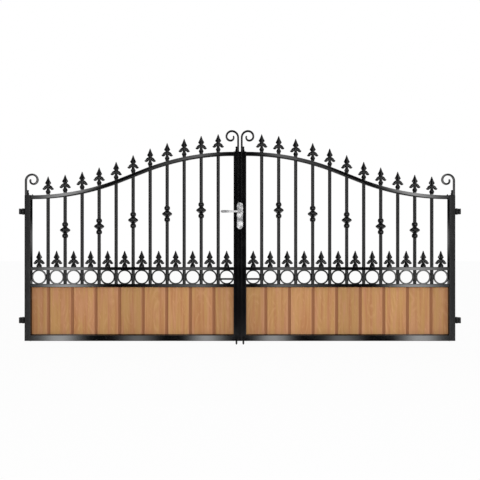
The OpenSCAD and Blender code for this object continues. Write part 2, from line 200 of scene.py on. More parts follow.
paint = {
    "face": rgb(4, 4, 5), "dust": rgb(9, 9, 10), "dusty": 0.5, "ior": 1.45, "roughness": (0.055, 0.09),
    "cloudScale": 7.0, "cloudDetail": 3.0, "cloudSpan": (0.42, 0.75),
    "peelScale": 420.0, "peelDepth": 0.00002, "peelStrength": 0.2,
}


def gatePaint():
    # powder coat: a fine orange peel, and dust as a slight dulling on some stretches
    material, book, shader = newMaterial("blackPowderCoat", {"IOR": paint["ior"]})
    spot = book.place()
    cloud = book.between(book.noise(spot, paint["cloudScale"], paint["cloudDetail"]), *paint["cloudSpan"])
    peel = book.noise(spot, paint["peelScale"])
    feed(book, shader, colour=book.mix(cloud * paint["dusty"], paint["face"], paint["dust"]),
         roughness=cloud.ranged(*paint["roughness"]),
         normal=book.bump(peel, paint["peelDepth"], paint["peelStrength"]))
    return material


hingeSteel = {
    "face": rgb(11, 11, 12), "worn": rgb(48, 46, 45), "ior": 1.45, "roughness": 0.4,
    "rubScale": 90.0, "rubDetail": 4.0, "rubRough": 0.65, "rubSpan": (0.6, 0.78),
    "rubCover": 0.35, "rubShine": 0.08,
    "strokeStretch": (1, 1, 0.25), "strokeScale": 260.0, "strokeDetail": 3.0, "strokeDull": 0.12,
    "strokeDepth": 0.0001, "strokeStrength": 0.5,
}


def hingePaint():
    # brushed-on black, rubbed a little thinner on the nuts and eyes
    material, book, shader = newMaterial("blackHingePaint", {"IOR": hingeSteel["ior"]})
    rubbed = book.noise(book.place(), hingeSteel["rubScale"], hingeSteel["rubDetail"],
                        hingeSteel["rubRough"])
    rubbed = book.between(rubbed, *hingeSteel["rubSpan"])
    strokes = book.noise(book.place(hingeSteel["strokeStretch"]), hingeSteel["strokeScale"],
                         hingeSteel["strokeDetail"])
    dull = hingeSteel["roughness"] + hingeSteel["strokeDull"] * strokes
    feed(book, shader,
         colour=book.mix(rubbed * hingeSteel["rubCover"], hingeSteel["face"], hingeSteel["worn"]),
         roughness=dull - hingeSteel["rubShine"] * rubbed,
         normal=book.bump(strokes, hingeSteel["strokeDepth"], hingeSteel["strokeStrength"]))
    return material


lockMetal = {
    "pale": rgb(226, 226, 227), "deep": rgb(104, 105, 107), "metallic": 0.5,
    # the brush marks' noise and what it does, then the clouds' noise, a satin mottle shifted so that a bright
    # cloud lies on the plate as a painted highlight
    "markStretch": (1, 1, 0.06), "markScale": 2600.0, "markRough": 0.6, "markSpan": (0.3, 0.7),
    "markCover": 0.2, "markRoughness": (0.25, 0.31), "markDepth": 0.00003, "markStrength": 0.25,
    "cloudScale": 30.0, "cloudDetail": 0.5, "cloudShift": 0.27, "cloudSpan": (0.4, 0.7), "cloudCover": 0.75,
    # painted shade and highlight on the lever: its metallic, distances from its darkest place to full brightness,
    # and how dark it stays there
    "heldMetallic": 0.2, "heldSpan": (0.006, 0.055), "heldLeast": 0.12,
    # painted shade towards the lever's root: distances over which it comes in, and how much it darkens
    "rootSpan": (0.078, 0.1), "rootLoss": 0.6,
}


def satinMetal(name, held=None):
    # satin: short upright brush marks over soft clouds shifted to lie as a painted highlight, or over painted
    # shade and highlight along the lever's grip
    metallic = lockMetal["metallic"] if held is None else lockMetal["heldMetallic"]
    material, book, shader = newMaterial(name, {"Metallic": metallic})
    marks = book.noise(book.place(lockMetal["markStretch"]), lockMetal["markScale"],
                       rough=lockMetal["markRough"])
    if held is None:
        # partly satin mottle, partly painted highlight: the shift puts a bright cloud where the plate shows a
        # reflection
        spot = book.place(shift=(0, 0, lockMetal["cloudShift"]))
        light = book.noise(spot, lockMetal["cloudScale"], lockMetal["cloudDetail"])
        light = book.between(light, *lockMetal["cloudSpan"])
    else:
        # painted shade at one place on the grip and towards the root, with a painted highlight between
        away = abs(book.split(book.place())[0] - held)
        root = book.between(away, *lockMetal["rootSpan"])
        light = book.between(away, *lockMetal["heldSpan"]) * (1.0 - lockMetal["rootLoss"] * root)
        light = light.ranged(lockMetal["heldLeast"], 1.0)
    brushed = book.between(marks, *lockMetal["markSpan"])
    cover = brushed * lockMetal["markCover"] + light * lockMetal["cloudCover"]
    feed(book, shader, colour=book.mix(cover, lockMetal["deep"], lockMetal["pale"]),
         roughness=marks.ranged(*lockMetal["markRoughness"]),
         normal=book.bump(marks, lockMetal["markDepth"], lockMetal["markStrength"]))
    return material


# colours of the painted shade in the screw slots and keyway
slotShade = {"deep": rgb(9, 9, 10), "pale": rgb(24, 23, 22), "ior": 1.3, "scale": 900.0, "roughness": (0.7, 0.9)}


def darkSlot():
    # painted shade: the dark of the screws' cross slots and the keyway, as dark pieces where their hollows would
    # be shaded, mottled a little
    material, book, shader = newMaterial("darkSlot", {"IOR": slotShade["ior"]})
    slotMottle = book.noise(book.place(), slotShade["scale"])
    feed(book, shader, colour=book.mix(slotMottle, slotShade["deep"], slotShade["pale"]),
         roughness=slotMottle.ranged(*slotShade["roughness"]))
    return material


oak = {
    # groove is the colour of the painted shade in the V-grooves
    "straw": rgb(182, 138, 84), "warm": rgb(173, 119, 76), "rosy": rgb(189, 133, 103),
    "pale": rgb(200, 154, 109), "pore": rgb(134, 90, 55), "groove": rgb(149, 99, 66),
    "ior": 1.36, "roughness": (0.42, 0.56), "poreRough": 0.1,
    # noises that run with the board: scale across it and along it per metre, detail and roughness
    "noises": {"zone": (34.0, 1.8, 2.0, 0.5), "blush": (26.0, 3.2, 2.0, 0.5),
               "streak": (150.0, 3.0, 3.0, 0.6), "warp": (12.0, 3.0, 2.0, 0.5),
               "shown": (22.0, 6.0, 1.0, 0.5), "pore": (900.0, 26.0, 2.0, 0.7)},
    # how far the boards lie apart in those noises, and in the height of the tree that they come from
    "apart": (31.0, 17.0, 20.0), "treeHeight": 9.0, "chance": 1.37, "warpShift": 0.4, "shownShift": 0.7,
    # where in its noise each mark begins and is full, and how strongly it covers
    "spans": {"zone": (0.36, 0.62), "blush": (0.46, 0.68), "streak": (0.4, 0.75), "shown": (0.48, 0.68),
              "fleck": (0.62, 0.72), "pore": (0.6, 0.78), "early": (0.24, 0.02), "late": (0.22, 0.04),
              "side": (0.83, 0.94), "hollow": (0.0001, 0.0007), "facing": (-0.4, 0.2)},
    "covers": {"blush": 0.55, "streak": 0.4, "early": 0.36, "late": 0.3, "fleck": 0.45, "side": 0.45,
               "groove": 0.92},
    "poreCover": (0.2, 0.4),
    # growth rings: width, how the heart wanders with board and warp, the cathedral's slope and length
    "ringWidth": 0.019, "heartShift": 0.07, "heartWarp": 0.03, "slope": (0.2, 0.14), "cathedral": 0.08,
    "ringWarp": 1.3, "earlyAt": 0.3, "lateAt": 0.78,
    # flecks lean across the board: scales across and along, the lean, and how far boards differ
    "fleckScale": (150.0, 22.0), "fleckLean": 42.0, "fleckApart": (40.0, 9.0), "fleckDetail": 1.5,
    # the surface: how high late wood and streaks stand, how deep the pores are
    "relief": (0.4, 0.5, 0.9), "reliefDepth": 0.00025, "reliefStrength": 0.5,
    # how much darker every fourth board is, and how much of that the lightest gains
    "fourth": 0.078, "lift": 0.022,
}


def boardOak(leaf):
    # oiled boards: each has its own tone, soft upright zones, a cathedral of rings, flecks and open pores, with
    # painted shade in the V-grooves and a painted highlight beside each groove
    material, book, shader = newMaterial(leaf.side + "BoardOak", {"IOR": oak["ior"]})
    x, y, z = book.split(book.coords())
    steps = (x - (leaf.edge + leaf.sign * boards["firstJoint"])) / boards["pitch"]
    number = steps.maths("FLOOR")
    local = steps - number
    across = (local - 0.5) * boards["pitch"]
    chance = book.add("ShaderNodeTexWhiteNoise", {"noise_dimensions": "1D"},
                      {"W": number * oak["chance"] + leaf.seed}, "Color")
    toneA, toneB, toneC = book.split(chance)
    along = z + toneA * oak["treeHeight"]

    def grain(name, shift):
        acrossScale, alongScale, detail, rough = oak["noises"][name]
        apartAcross, apartDeep, deepScale = oak["apart"]
        vector = book.join(across * acrossScale + shift * apartAcross, along * alongScale,
                           shift * apartDeep + y * deepScale)
        return book.noise(vector, 1.0, detail, rough)

    def marked(value, name):
        return book.between(value, *oak["spans"][name])

    zone = grain("zone", toneB)
    blush = grain("blush", toneC)
    streak = grain("streak", toneA)
    warp = grain("warp", toneB + oak["warpShift"])
    shown = marked(grain("shown", toneC + oak["shownShift"]), "shown")
    heart = across - (toneB - 0.5) * oak["heartShift"] + (warp - 0.5) * oak["heartWarp"]
    slope, moreSlope = oak["slope"]
    depth = (along * (slope + moreSlope * toneC)).maths("PINGPONG", oak["cathedral"]) + y
    growth = (heart * heart + depth * depth).maths("SQRT") / oak["ringWidth"]
    growth = (growth + warp * oak["ringWarp"]).maths("FRACT")
    early = marked(abs(growth - oak["earlyAt"]), "early")
    late = marked(abs(growth - oak["lateAt"]), "late")
    fleckAcross, fleckAlong = oak["fleckScale"]
    apartAcross, apartDeep = oak["fleckApart"]
    slant = book.join(across * fleckAcross + along * oak["fleckLean"] + toneA * apartAcross,
                      along * fleckAlong, toneB * apartDeep)
    fleck = marked(book.noise(slant, 1.0, oak["fleckDetail"]), "fleck")
    pore = marked(grain("pore", toneC), "pore")

    covers = oak["covers"]
    colour = book.mix(marked(zone, "zone"), oak["warm"], oak["straw"])
    colour = book.mix(marked(blush, "blush") * covers["blush"], colour, oak["rosy"])
    colour = book.mix(marked(streak, "streak") * covers["streak"], colour, oak["pale"])
    colour = book.mix(early * shown * covers["early"], colour, oak["pale"])
    colour = book.mix(late * shown * covers["late"], colour, oak["warm"])
    colour = book.mix(fleck * covers["fleck"], colour, oak["pale"])
    colour = book.mix(pore * late.ranged(*oak["poreCover"]), colour, oak["pore"])
    # painted highlight: a paler rosy strip along each board's right edge, beside the next groove, where light
    # catches the arris
    colour = book.mix(marked(local, "side") * covers["side"], colour, oak["rosy"])
    turn = ((number + leaf.phase) * (math.pi / 2)).maths("COSINE")
    shade = 1.0 - oak["fourth"] * turn - oak["lift"] * turn * turn
    colour = book.mix(1.0, colour, book.join(shade, shade, shade), "MULTIPLY")
    # painted shade: the V-grooves' front faces are darkened to the groove colour, where shade falls in them
    hollow = marked(y - boards["frontY"], "hollow")
    facing = marked(-book.split(book.coords("Normal"))[1], "facing")
    colour = book.mix(hollow * facing * covers["groove"], colour, oak["groove"])
    lateHigh, streakHigh, poreDeep = oak["relief"]
    height = late * lateHigh + streak * streakHigh - pore * poreDeep
    feed(book, shader, colour=colour, roughness=streak.ranged(*oak["roughness"]) + oak["poreRough"] * pore,
         normal=book.bump(height, oak["reliefDepth"], oak["reliefStrength"]))
    return material


class Leaf:
    # one leaf's measures, read from its CAD nodes, and the way from its places to the frame's
    def __init__(self, side, seed, phase):
        self.side = side
        self.seed = seed
        self.phase = phase
        self.body = side + "_leaf"
        hingeLow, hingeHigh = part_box(side + "_hinge_stile")
        closingLow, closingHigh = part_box(side + "_closing_stile")
        self.sign = 1 if closingLow.x > hingeLow.x else -1
        self.edge = hingeLow.x if self.sign > 0 else hingeHigh.x
        self.foot = hingeLow.z
        self.tube = hingeHigh.x - hingeLow.x
        self.width = abs((closingHigh.x if self.sign > 0 else closingLow.x) - self.edge)
        self.hingeTop = hingeHigh.z - self.foot
        self.closingTop = closingHigh.z - self.foot
        swing = next(j for j in frame["joints"] if j["name"] == side + "_swing")
        self.pin = self.sign * (swing["pos_m"][0] - self.edge)

    def node(self, name):
        return self.side + "_" + name

    def span(self, name):
        # a node's box in the leaf's own places
        low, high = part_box(self.node(name))
        ends = sorted((self.sign * (low.x - self.edge), self.sign * (high.x - self.edge)))
        return Vector((ends[0], low.y, low.z - self.foot)), Vector((ends[1], high.y, high.z - self.foot))

    def matrix(self):
        return Matrix(((self.sign, 0, 0, self.edge), (0, 1, 0, 0), (0, 0, 1, self.foot), (0, 0, 0, 1)))


leaves = [Leaf("left", 3.0, 1.0), Leaf("right", 11.0, 0.0)]

boards = {
    "firstJoint": 0.1592, "pitch": 0.167, "count": 9, "frontY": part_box("left_boards")[0].y,
    "chamfer": 0.0105, "grooveDepth": 0.006, "gap": 0.0012, "round": 0.0009, "arris": 0.3,
    "backBevel": 0.0022,
    # the tongue that shows at the bottom of a joint: half width, how far in it starts and ends, its edge
    "tongueHalf": 0.004, "tongueFront": 0.0065, "tongueBack": 0.0026, "tongueEdge": 0.0003, "sharp": 28,
}


def around(steps, start=0.0):
    # evenly spread angles of a full turn
    return [2 * math.pi * (k + start) / steps for k in range(steps)]


def circle(radius, steps):
    return [(radius * math.cos(a), radius * math.sin(a)) for a in around(steps)]


def heading(line, k):
    # direction of a line at its place k, from the first two numbers of its places
    before, after = line[max(k - 1, 0)], line[min(k + 1, len(line) - 1)]
    return Vector((after[0] - before[0], after[1] - before[1])).normalized()


def curveThrough(points, steps):
    # a smooth line of places through a few given ones, which may carry a size as a last number
    ends = [[2 * a - b for a, b in zip(points[0], points[1])], *points,
            [2 * a - b for a, b in zip(points[-1], points[-2])]]
    line = []
    for k in range(1, len(ends) - 2):
        p0, p1, p2, p3 = ends[k - 1:k + 3]
        for s in range(steps):
            t = s / steps
            line.append([0.5 * (2 * b + (c - a) * t + (2 * a - 5 * b + 4 * c - d) * t * t
                                + (3 * b - a - 3 * c + d) * t ** 3) for a, b, c, d in zip(p0, p1, p2, p3)])
    line.append(list(points[-1]))
    return line


def arcPoints(centre, radius, start, end, steps):
    return [(centre[0] + radius * math.cos(a), centre[1] + radius * math.sin(a))
            for a in (math.radians(start + (end - start) * k / steps) for k in range(steps + 1))]


def roundedOutline(width, height, radius, steps):
    # a rectangle about its middle, with round corners, anticlockwise
    x, y = width / 2 - radius, height / 2 - radius
    corners = ((x, y, 0), (-x, y, 90), (-x, -y, 180), (x, -y, 270))
    return [point for cx, cy, start in corners
            for point in arcPoints((cx, cy), radius, start, start + 90, steps)]


def roundEnded(width, height, steps=16):
    # an upright outline with half-round ends, about its middle
    half = (height - width) / 2
    return arcPoints((0, half), width / 2, 0, 180, steps) + arcPoints((0, -half), width / 2, 180, 360, steps)


def bridge(bm, loops, closed=False):
    # faces between loops of the same length; the first and last loop are capped, or joined when closed
    rings = [[bm.verts.new(point) for point in loop] for loop in loops]
    count = len(rings[0])
    for first, second in zip(rings, rings[1:] + (rings[:1] if closed else [])):
        for k in range(count):
            bm.faces.new((first[k], first[(k + 1) % count], second[(k + 1) % count], second[k]))
    if not closed:
        bm.faces.new(list(reversed(rings[0])))
        bm.faces.new(rings[-1])


def sweepFlat(bm, path, outline, depth=0.0, sizes=None):
    # a section swept along a path in the u-z plane; the outline is (across the path, along y)
    loops = []
    for k, (u, z) in enumerate(path):
        along = heading(path, k)
        size = sizes[k] if sizes else 1.0
        loops.append([(u - along.y * a * size, depth + b * size, z + along.x * a * size)
                      for a, b in outline])
    bridge(bm, loops)


def lathe(bm, profile, turns, centre=(0, 0, 0)):
    # a solid turned about an upright line; profile is (radius, height), and its ends close on the line
    x, y, z = centre
    bridge(bm, [[(x + a, y + b, z + height) for a, b in circle(radius, turns)]
                for radius, height in profile])


def turnForward(bm, profile, centre, turns):
    # a solid turned about a level line towards the front; profile is (radius, distance out)
    x, y, z = centre
    bridge(bm, [[(x + a, y - out, z + b) for a, b in circle(radius, turns)]
                for radius, out in profile])


def prism(bm, outline, low, high, axis, soft):
    # an outline in the u-z plane (axis y) or the u-y plane (axis z), from low to high, with eased rims
    middle = [sum(p[k] for p in outline) / len(outline) for k in (0, 1)]
    shrink = 1 - soft / max(math.dist(p, middle) for p in outline)
    small = [(middle[0] + (a - middle[0]) * shrink, middle[1] + (b - middle[1]) * shrink)
             for a, b in outline]
    levels = ((low, small), (low + soft, outline), (high - soft, outline), (high, small))
    if axis == "y":
        bridge(bm, [[(a, level, b) for a, b in shape] for level, shape in levels])
    else:
        bridge(bm, [[(a, b, level) for a, b in shape] for level, shape in levels])


def softBox(bm, low, high, radius, steps=2):
    # a box whose edges are rounded
    made = bmesh.ops.create_cube(bm, size=1.0)["verts"]
    low, high = Vector(low), Vector(high)
    bmesh.ops.scale(bm, vec=high - low, verts=made)
    bmesh.ops.translate(bm, vec=(high + low) / 2, verts=made)
    edges = dict.fromkeys(edge for vert in made for edge in vert.link_edges)
    bmesh.ops.bevel(bm, geom=list(edges), offset=radius, segments=steps, profile=0.5, affect="EDGES")


def meshOf(name, bm):
    mesh = bpy.data.meshes.new(name)
    bm.to_mesh(mesh)
    bm.free()
    return mesh


def joined(name, *parts):
    # one mesh of several
    bm = bmesh.new()
    for part in parts:
        bm.from_mesh(part)
    return meshOf(name, bm)


def placed(name, data):
    # a new object in the scene
    made = bpy.data.objects.new(name, data)
    scene.collection.objects.link(made)
    return made


def evaluated(piece):
    # an object's mesh as its modifiers make it
    bpy.context.view_layer.update()
    return bpy.data.meshes.new_from_object(piece.evaluated_get(bpy.context.evaluated_depsgraph_get()))


def finished(name, bm, material, body, replaces=(), matrix=None, sharp=35):
    # turns a bmesh into a finished piece: merged, facing outwards, smooth up to the sharp angle
    if matrix:
        bm.transform(matrix)
    bmesh.ops.remove_doubles(bm, verts=bm.verts, dist=hairline)
    bmesh.ops.recalc_face_normals(bm, faces=bm.faces)
    finishedMesh(name, meshOf(name, bm), material, body, replaces, sharp)


def finishedMesh(name, mesh, material, body, replaces=(), sharp=35):
    # gives a mesh its material and shading, and puts it on its body in place of the solids that it replaces
    piece = placed(name, mesh)
    mesh.materials.clear()
    mesh.materials.append(material)
    mesh.shade_smooth()
    mesh.set_sharp_from_angle(angle=math.radians(sharp))
    # large flat faces keep their own direction, so that only the rounded edges bend the light
    even = piece.modifiers.new("even", "WEIGHTED_NORMAL")
    even.keep_sharp = True
    even.weight = 90
    piece.data = evaluated(piece)
    piece.modifiers.clear()
    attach(piece, body)
    if replaces:
        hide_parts(*replaces)


def finishedOn(leaf, name, suffix, bm, material, body=None, sharp=35):
    # a piece made in a leaf's own places, instead of the solid of the same name
    node = leaf.node(name)
    finished(node + suffix, bm, material, body or leaf.body, [node], leaf.matrix(), sharp)


def grownOn(leaf, name, suffix, mesh, material, sharp=35):
    # the same for a mesh that stands in the frame already
    node = leaf.node(name)
    finishedMesh(node + suffix, mesh, material, leaf.body, [node], sharp)


class GeometryBook(NodeBook):
    # a geometry tree with named inputs; inputs are {name: socket type}
    def __init__(self, name, inputs):
        tree = bpy.data.node_groups.new(name, "GeometryNodeTree")
        super().__init__(tree)
        for key, kind in {"Geometry": "Geometry", **inputs}.items():
            tree.interface.new_socket(key, in_out="INPUT", socket_type="NodeSocket" + kind)
        tree.interface.new_socket("Geometry", in_out="OUTPUT", socket_type="NodeSocketGeometry")
        self.group = tree.nodes.new("NodeGroupInput")

    def given(self, name):
        return Wire(self, self.group.outputs[name])

    def curve(self, kind, settings, sockets):
        return self.add("GeometryNodeCurvePrimitive" + kind, settings, sockets)

    def circle(self, turns, radius):
        return self.curve("Circle", {"mode": "RADIUS"}, {"Resolution": turns, "Radius": self.given(radius)})

    def swept(self, line, section, **sockets):
        return self.add("GeometryNodeCurveToMesh",
                        sockets={"Curve": line, "Profile Curve": section, **sockets})

    def copies(self, piece, **sockets):
        # a copy of a piece on every point of the carrier
        return self.add("GeometryNodeInstanceOnPoints",
                        sockets={"Points": self.given("Geometry"), "Instance": piece, **sockets})

    def finish(self, wire, material):
        solid = self.add("GeometryNodeRealizeInstances", sockets={0: wire})
        painted = self.add("GeometryNodeSetMaterial", sockets={"Geometry": solid, "Material": material})
        out = self.tree.nodes.new("NodeGroupOutput")
        self.tree.links.new(painted.socket, out.inputs[0])
        return self


def grown(book, carrier, values, matrix):
    # runs a tree on a carrier mesh and returns the result as a plain mesh
    holder = placed("holder", carrier)
    modifier = holder.modifiers.new("grow", "NODES")
    modifier.node_group = book.tree
    for item in book.tree.interface.items_tree:
        if item.in_out == "INPUT" and item.name in values:
            modifier[item.identifier] = values[item.name]
    mesh = evaluated(holder)
    bpy.data.objects.remove(holder)
    mesh.transform(matrix)
    if matrix.determinant() < 0:
        mesh.flip_normals()
    return mesh


def carrierMesh(points, edges=(), stretch=None):
    # points for a tree to stand its copies on, with a height for each, or lines for it to follow
    mesh = bpy.data.meshes.new("carrier")
    mesh.from_pydata(points, edges, [])
    if stretch:
        mesh.attributes.new("stretch", "FLOAT", "POINT").data.foreach_set("value", stretch)
    return mesh


def standingTree(material):
    # stands a copy of a piece on every carrier point, stretched by the point's own height
    book = GeometryBook("standing", {"Piece": "Object"})
    shape = book.add("GeometryNodeObjectInfo", sockets={"Object": book.given("Piece")}, out="Geometry")
    tall = book.add("GeometryNodeInputNamedAttribute", {"data_type": "FLOAT"}, {"Name": "stretch"})
    return book.finish(book.copies(shape, Scale=book.join(1.0, 1.0, tall)), material)


def ringTree(material):
    # a flat strip rolled to a ring on every carrier point
    sizes = ("Radius", "Strip thickness", "Strip depth", "Edge")
    book = GeometryBook("rings", dict.fromkeys(sizes, "Float"))
    upright = book.add("GeometryNodeTransform", sockets={
        "Geometry": book.circle(ring["turns"], "Radius"), "Rotation": (math.pi / 2, 0, 0)})
    strip = book.curve("Quadrilateral", {"mode": "RECTANGLE"},
                       {"Width": book.given("Strip thickness"), "Height": book.given("Strip depth")})
    eased = book.add("GeometryNodeFilletCurve", {"mode": "POLY"},
                     {"Curve": strip, "Radius": book.given("Edge"), "Count": 2})
    return book.finish(book.copies(book.swept(upright, eased)), material)


def weldTree(material):
    # a rippled bead of weld along every carrier edge
    book = GeometryBook("welds", dict.fromkeys(("Radius", "Ripple", "Step"), "Float"))
    line = book.add("GeometryNodeMeshToCurve", sockets={"Mesh": book.given("Geometry")})
    fine = book.add("GeometryNodeResampleCurve", {"mode": "LENGTH"},
                    {"Curve": line, "Length": book.given("Step")})
    index = book.add("GeometryNodeInputIndex")
    wave = 1.0 + book.given("Ripple") * (index * weld["wave"]).maths("SINE")
    thick = book.add("GeometryNodeSetCurveRadius", sockets={"Curve": fine, "Radius": wave})
    solid = book.swept(thick, book.circle(weld["turns"], "Radius"), **{"Scale": wave, "Fill Caps": True})
    return book.finish(solid, material)


def threadTree(material):
    # a screw thread wound along the shank of an eye bolt
    book = GeometryBook("thread", dict.fromkeys(("Radius", "Pitch", "Turns", "Depth"), "Float"))
    radius, turns = book.given("Radius"), book.given("Turns")
    spiral = book.add("GeometryNodeCurveSpiral",
                      sockets={"Resolution": thread["steps"], "Rotations": turns, "Start Radius": radius,
                               "End Radius": radius, "Height": book.given("Pitch") * turns})
    solid = book.swept(spiral, book.circle(thread["turns"], "Depth"), **{"Fill Caps": True})
    return book.finish(book.copies(solid, Rotation=(0, math.pi / 2, 0)), material)


frameBars = {
    "corner": 0.003, "railCorner": 0.0018, "cornerSteps": 4, "end": 0.0006, "endShare": 0.97,
    "coat": 0.0006, "hingeCoat": 0.0009,
}


def makeFrame(leaf, material):
    # square tubes with rolled corners, and the two flat middle rails
    tube, rail = frameBars["corner"], frameBars["railCorner"]
    radii = {"hinge_stile": tube, "closing_stile": tube, "bottom_rail": tube, "panel_rail": rail,
             "ring_rail": rail}
    for name, radius in radii.items():
        low, high = leaf.span(name)
        upright = high.z - low.z > high.x - low.x
        grow = Vector((frameBars["coat"], 0, 0) if upright else (0, 0, frameBars["coat"]))
        low, high = low - grow, high + grow
        if name == "hinge_stile":
            low.x -= frameBars["hingeCoat"]
        size, middle = high - low, (low + high) / 2
        outline = roundedOutline(size.x if upright else size.z, size.y, radius, frameBars["cornerSteps"])
        rim = [(a * frameBars["endShare"], b * frameBars["endShare"]) for a, b in outline]
        start, end = (low.z, high.z) if upright else (low.x, high.x)
        ease = frameBars["end"]
        levels = ((start, rim), (start + ease, outline), (end - ease, outline), (end, rim))
        bm = bmesh.new()
        if upright:
            bridge(bm, [[(middle.x + a, middle.y + b, level) for a, b in shape] for level, shape in levels])
        else:
            bridge(bm, [[(level, middle.y + b, middle.z + a) for a, b in shape] for level, shape in levels])
        finishedOn(leaf, name, "_rolled", bm, material)


topRail = {
    "straight": 0.178, "section": 0.025, "steps": 48, "coat": 0.0009,
    # radii of the upper edges and of the rounder lower ones, with the steps of each
    "top": (0.002, 3), "under": (0.007, 5),
}


def topRailLine(leaf):
    # middle line of the top rail: a bend up from level, a straight, and a bend back to level
    left, right = leaf.tube, leaf.width - leaf.tube
    rise = leaf.closingTop - leaf.hingeTop
    run = right - left
    slope = 2 * math.atan(rise / (run + topRail["straight"]))
    radius = (run * math.sin(slope) - rise * math.cos(slope)) / (2 * (1 - math.cos(slope)))
    half = topRail["section"] / 2
    turns = [slope * k / topRail["steps"] for k in range(topRail["steps"] + 1)]
    rising = [(left + radius * math.sin(a), leaf.hingeTop - half + radius * (1 - math.cos(a)))
              for a in turns]
    levelling = [(right - radius * math.sin(a), leaf.closingTop - half - radius * (1 - math.cos(a)))
                 for a in reversed(turns)]
    return rising + levelling


def railHeight(line, u):
    # height of the line at a place along the leaf
    for (u0, z0), (u1, z1) in zip(line, line[1:]):
        if u <= u1:
            return z0 + (z1 - z0) * (u - u0) / (u1 - u0)
    return line[-1][1]


def makeTopRail(leaf, material, line):
    # the arched rail, with eased upper edges and rounder lower ones
    half = topRail["section"] / 2 + topRail["coat"]
    (edge, edgeSteps), (under, underSteps) = topRail["top"], topRail["under"]
    outline = (arcPoints((half - edge, half - edge), edge, 0, 90, edgeSteps)
               + arcPoints((under - half, half - under), under, 90, 180, underSteps)
               + arcPoints((under - half, under - half), under, 180, 270, underSteps)
               + arcPoints((half - edge, edge - half), edge, 270, 360, edgeSteps))
    bm = bmesh.new()
    sweepFlat(bm, line, outline)
    finishedOn(leaf, "top_rail", "_arched", bm, material)


def boardOutline(start, end, back, first, last):
    # one board from above: half a V on each jointed edge, with eased arrises, and a small bevel behind
    front = boards["frontY"]
    groove = front + boards["grooveDepth"]
    chamfer, gap, ease, bevel = boards["chamfer"], boards["gap"] / 2, boards["round"], boards["backBevel"]
    arris = front + ease * boards["arris"]
    if first:
        points = [(start, back), (start, front)]
    else:
        left = start + gap
        points = [(left + bevel, back), (left, back - bevel), (left, groove),
                  (left + chamfer - ease, front + ease), (left + chamfer, arris),
                  (left + chamfer + ease, front)]
    if last:
        return points + [(end, front), (end, back)]
    right = end - gap
    return points + [(right - chamfer - ease, front), (right - chamfer, arris),
                     (right - chamfer + ease, front + ease), (right, groove),
                     (right, back - bevel), (right - bevel, back)]


def makeBoards(leaf, material):
    low, high = leaf.span("boards")
    count = boards["count"]
    joints = [low.x, *(boards["firstJoint"] + k * boards["pitch"] for k in range(count - 1)), high.x]
    bm = bmesh.new()
    for k, (start, end) in enumerate(zip(joints, joints[1:])):
        outline = boardOutline(start, end, high.y, k == 0, k == count - 1)
        bridge(bm, [[(a, b, level) for a, b in outline] for level in (low.z, high.z)])
    # the tongues, set back at the bottom of the joints
    half, front, back = boards["tongueHalf"], low.y + boards["tongueFront"], high.y - boards["tongueBack"]
    for joint in joints[1:-1]:
        softBox(bm, (joint - half, front, low.z), (joint + half, back, high.z), boards["tongueEdge"], 1)
    finishedOn(leaf, "boards", "_planks", bm, material, sharp=boards["sharp"])


bead = {"ease": 0.001, "steps": 5, "share": 0.4}


def makeBead(leaf, material):
    # low bead that closes the joint between the boards' foot and the rail
    low, high = leaf.span("bead")
    ease, top = bead["ease"], low.z + (high.z - low.z) * bead["share"]
    rounded = arcPoints((low.y + ease, top - ease), ease, 90, 180, bead["steps"])
    outline = [(high.y, low.z), (high.y, top), *rounded, (low.y, low.z)]
    bm = bmesh.new()
    bridge(bm, [[(level, a, b) for a, b in outline] for level in (low.x, high.x)])
    finishedOn(leaf, "bead", "_quarter_round", bm, material)


bars = {"count": 11, "turns": 28, "intoRail": 0.004, "coat": 0.0012, "endHole": 0.0001}

ring = {"strip": 0.0104, "edge": 0.0016, "coat": 0.0038, "turns": 72}


def barPlaces(leaf):
    # the bars' diameter and middles along the leaf
    low, high = leaf.span("plain_bars")
    across = high.y - low.y
    pitch = (high.x - low.x - across) / (bars["count"] - 1)
    return across, [low.x + across / 2 + k * pitch for k in range(bars["count"])]


def bayMiddles(leaf, places, intoStile):
    # the middles between neighbouring bars, and between the outer bars and the stiles
    ends = [leaf.tube - intoStile, *places, leaf.width - leaf.tube + intoStile]
    return [(a + b) / 2 for a, b in zip(ends, ends[1:])]


collar = {
    # upper half of the collar's side: height from its middle, and radius
    "curve": [(0.0022, 0.0348), (0.005, 0.0335), (0.0095, 0.0286), (0.0142, 0.0222), (0.0184, 0.0168),
              (0.0212, 0.0138), (0.0242, 0.0136), (0.0268, 0.0152), (0.0298, 0.0177), (0.0345, 0.0197),
              (0.0405, 0.0202), (0.0465, 0.0196), (0.0515, 0.0172), (0.055, 0.0138), (0.0572, 0.0109)],
    # share of the height between ring rail and top rail at which it sits
    "share": 0.512, "turns": 32, "smooth": 3,
}


def makeCollars(leaf, chosen, line):
    # the cast collars of one leaf, as one mesh
    rail = leaf.span("ring_rail")[1].z
    curve = curveThrough(collar["curve"], collar["smooth"])
    profile = [(r, -z) for z, r in reversed(curve)] + [(r, z) for z, r in curve]
    bm = bmesh.new()
    for u in chosen:
        middle = rail + collar["share"] * (railHeight(line, u) - rail)
        lathe(bm, profile, collar["turns"], (u, 0, middle))
    bm.transform(leaf.matrix())
    bmesh.ops.recalc_face_normals(bm, faces=bm.faces)
    return meshOf("collars", bm)


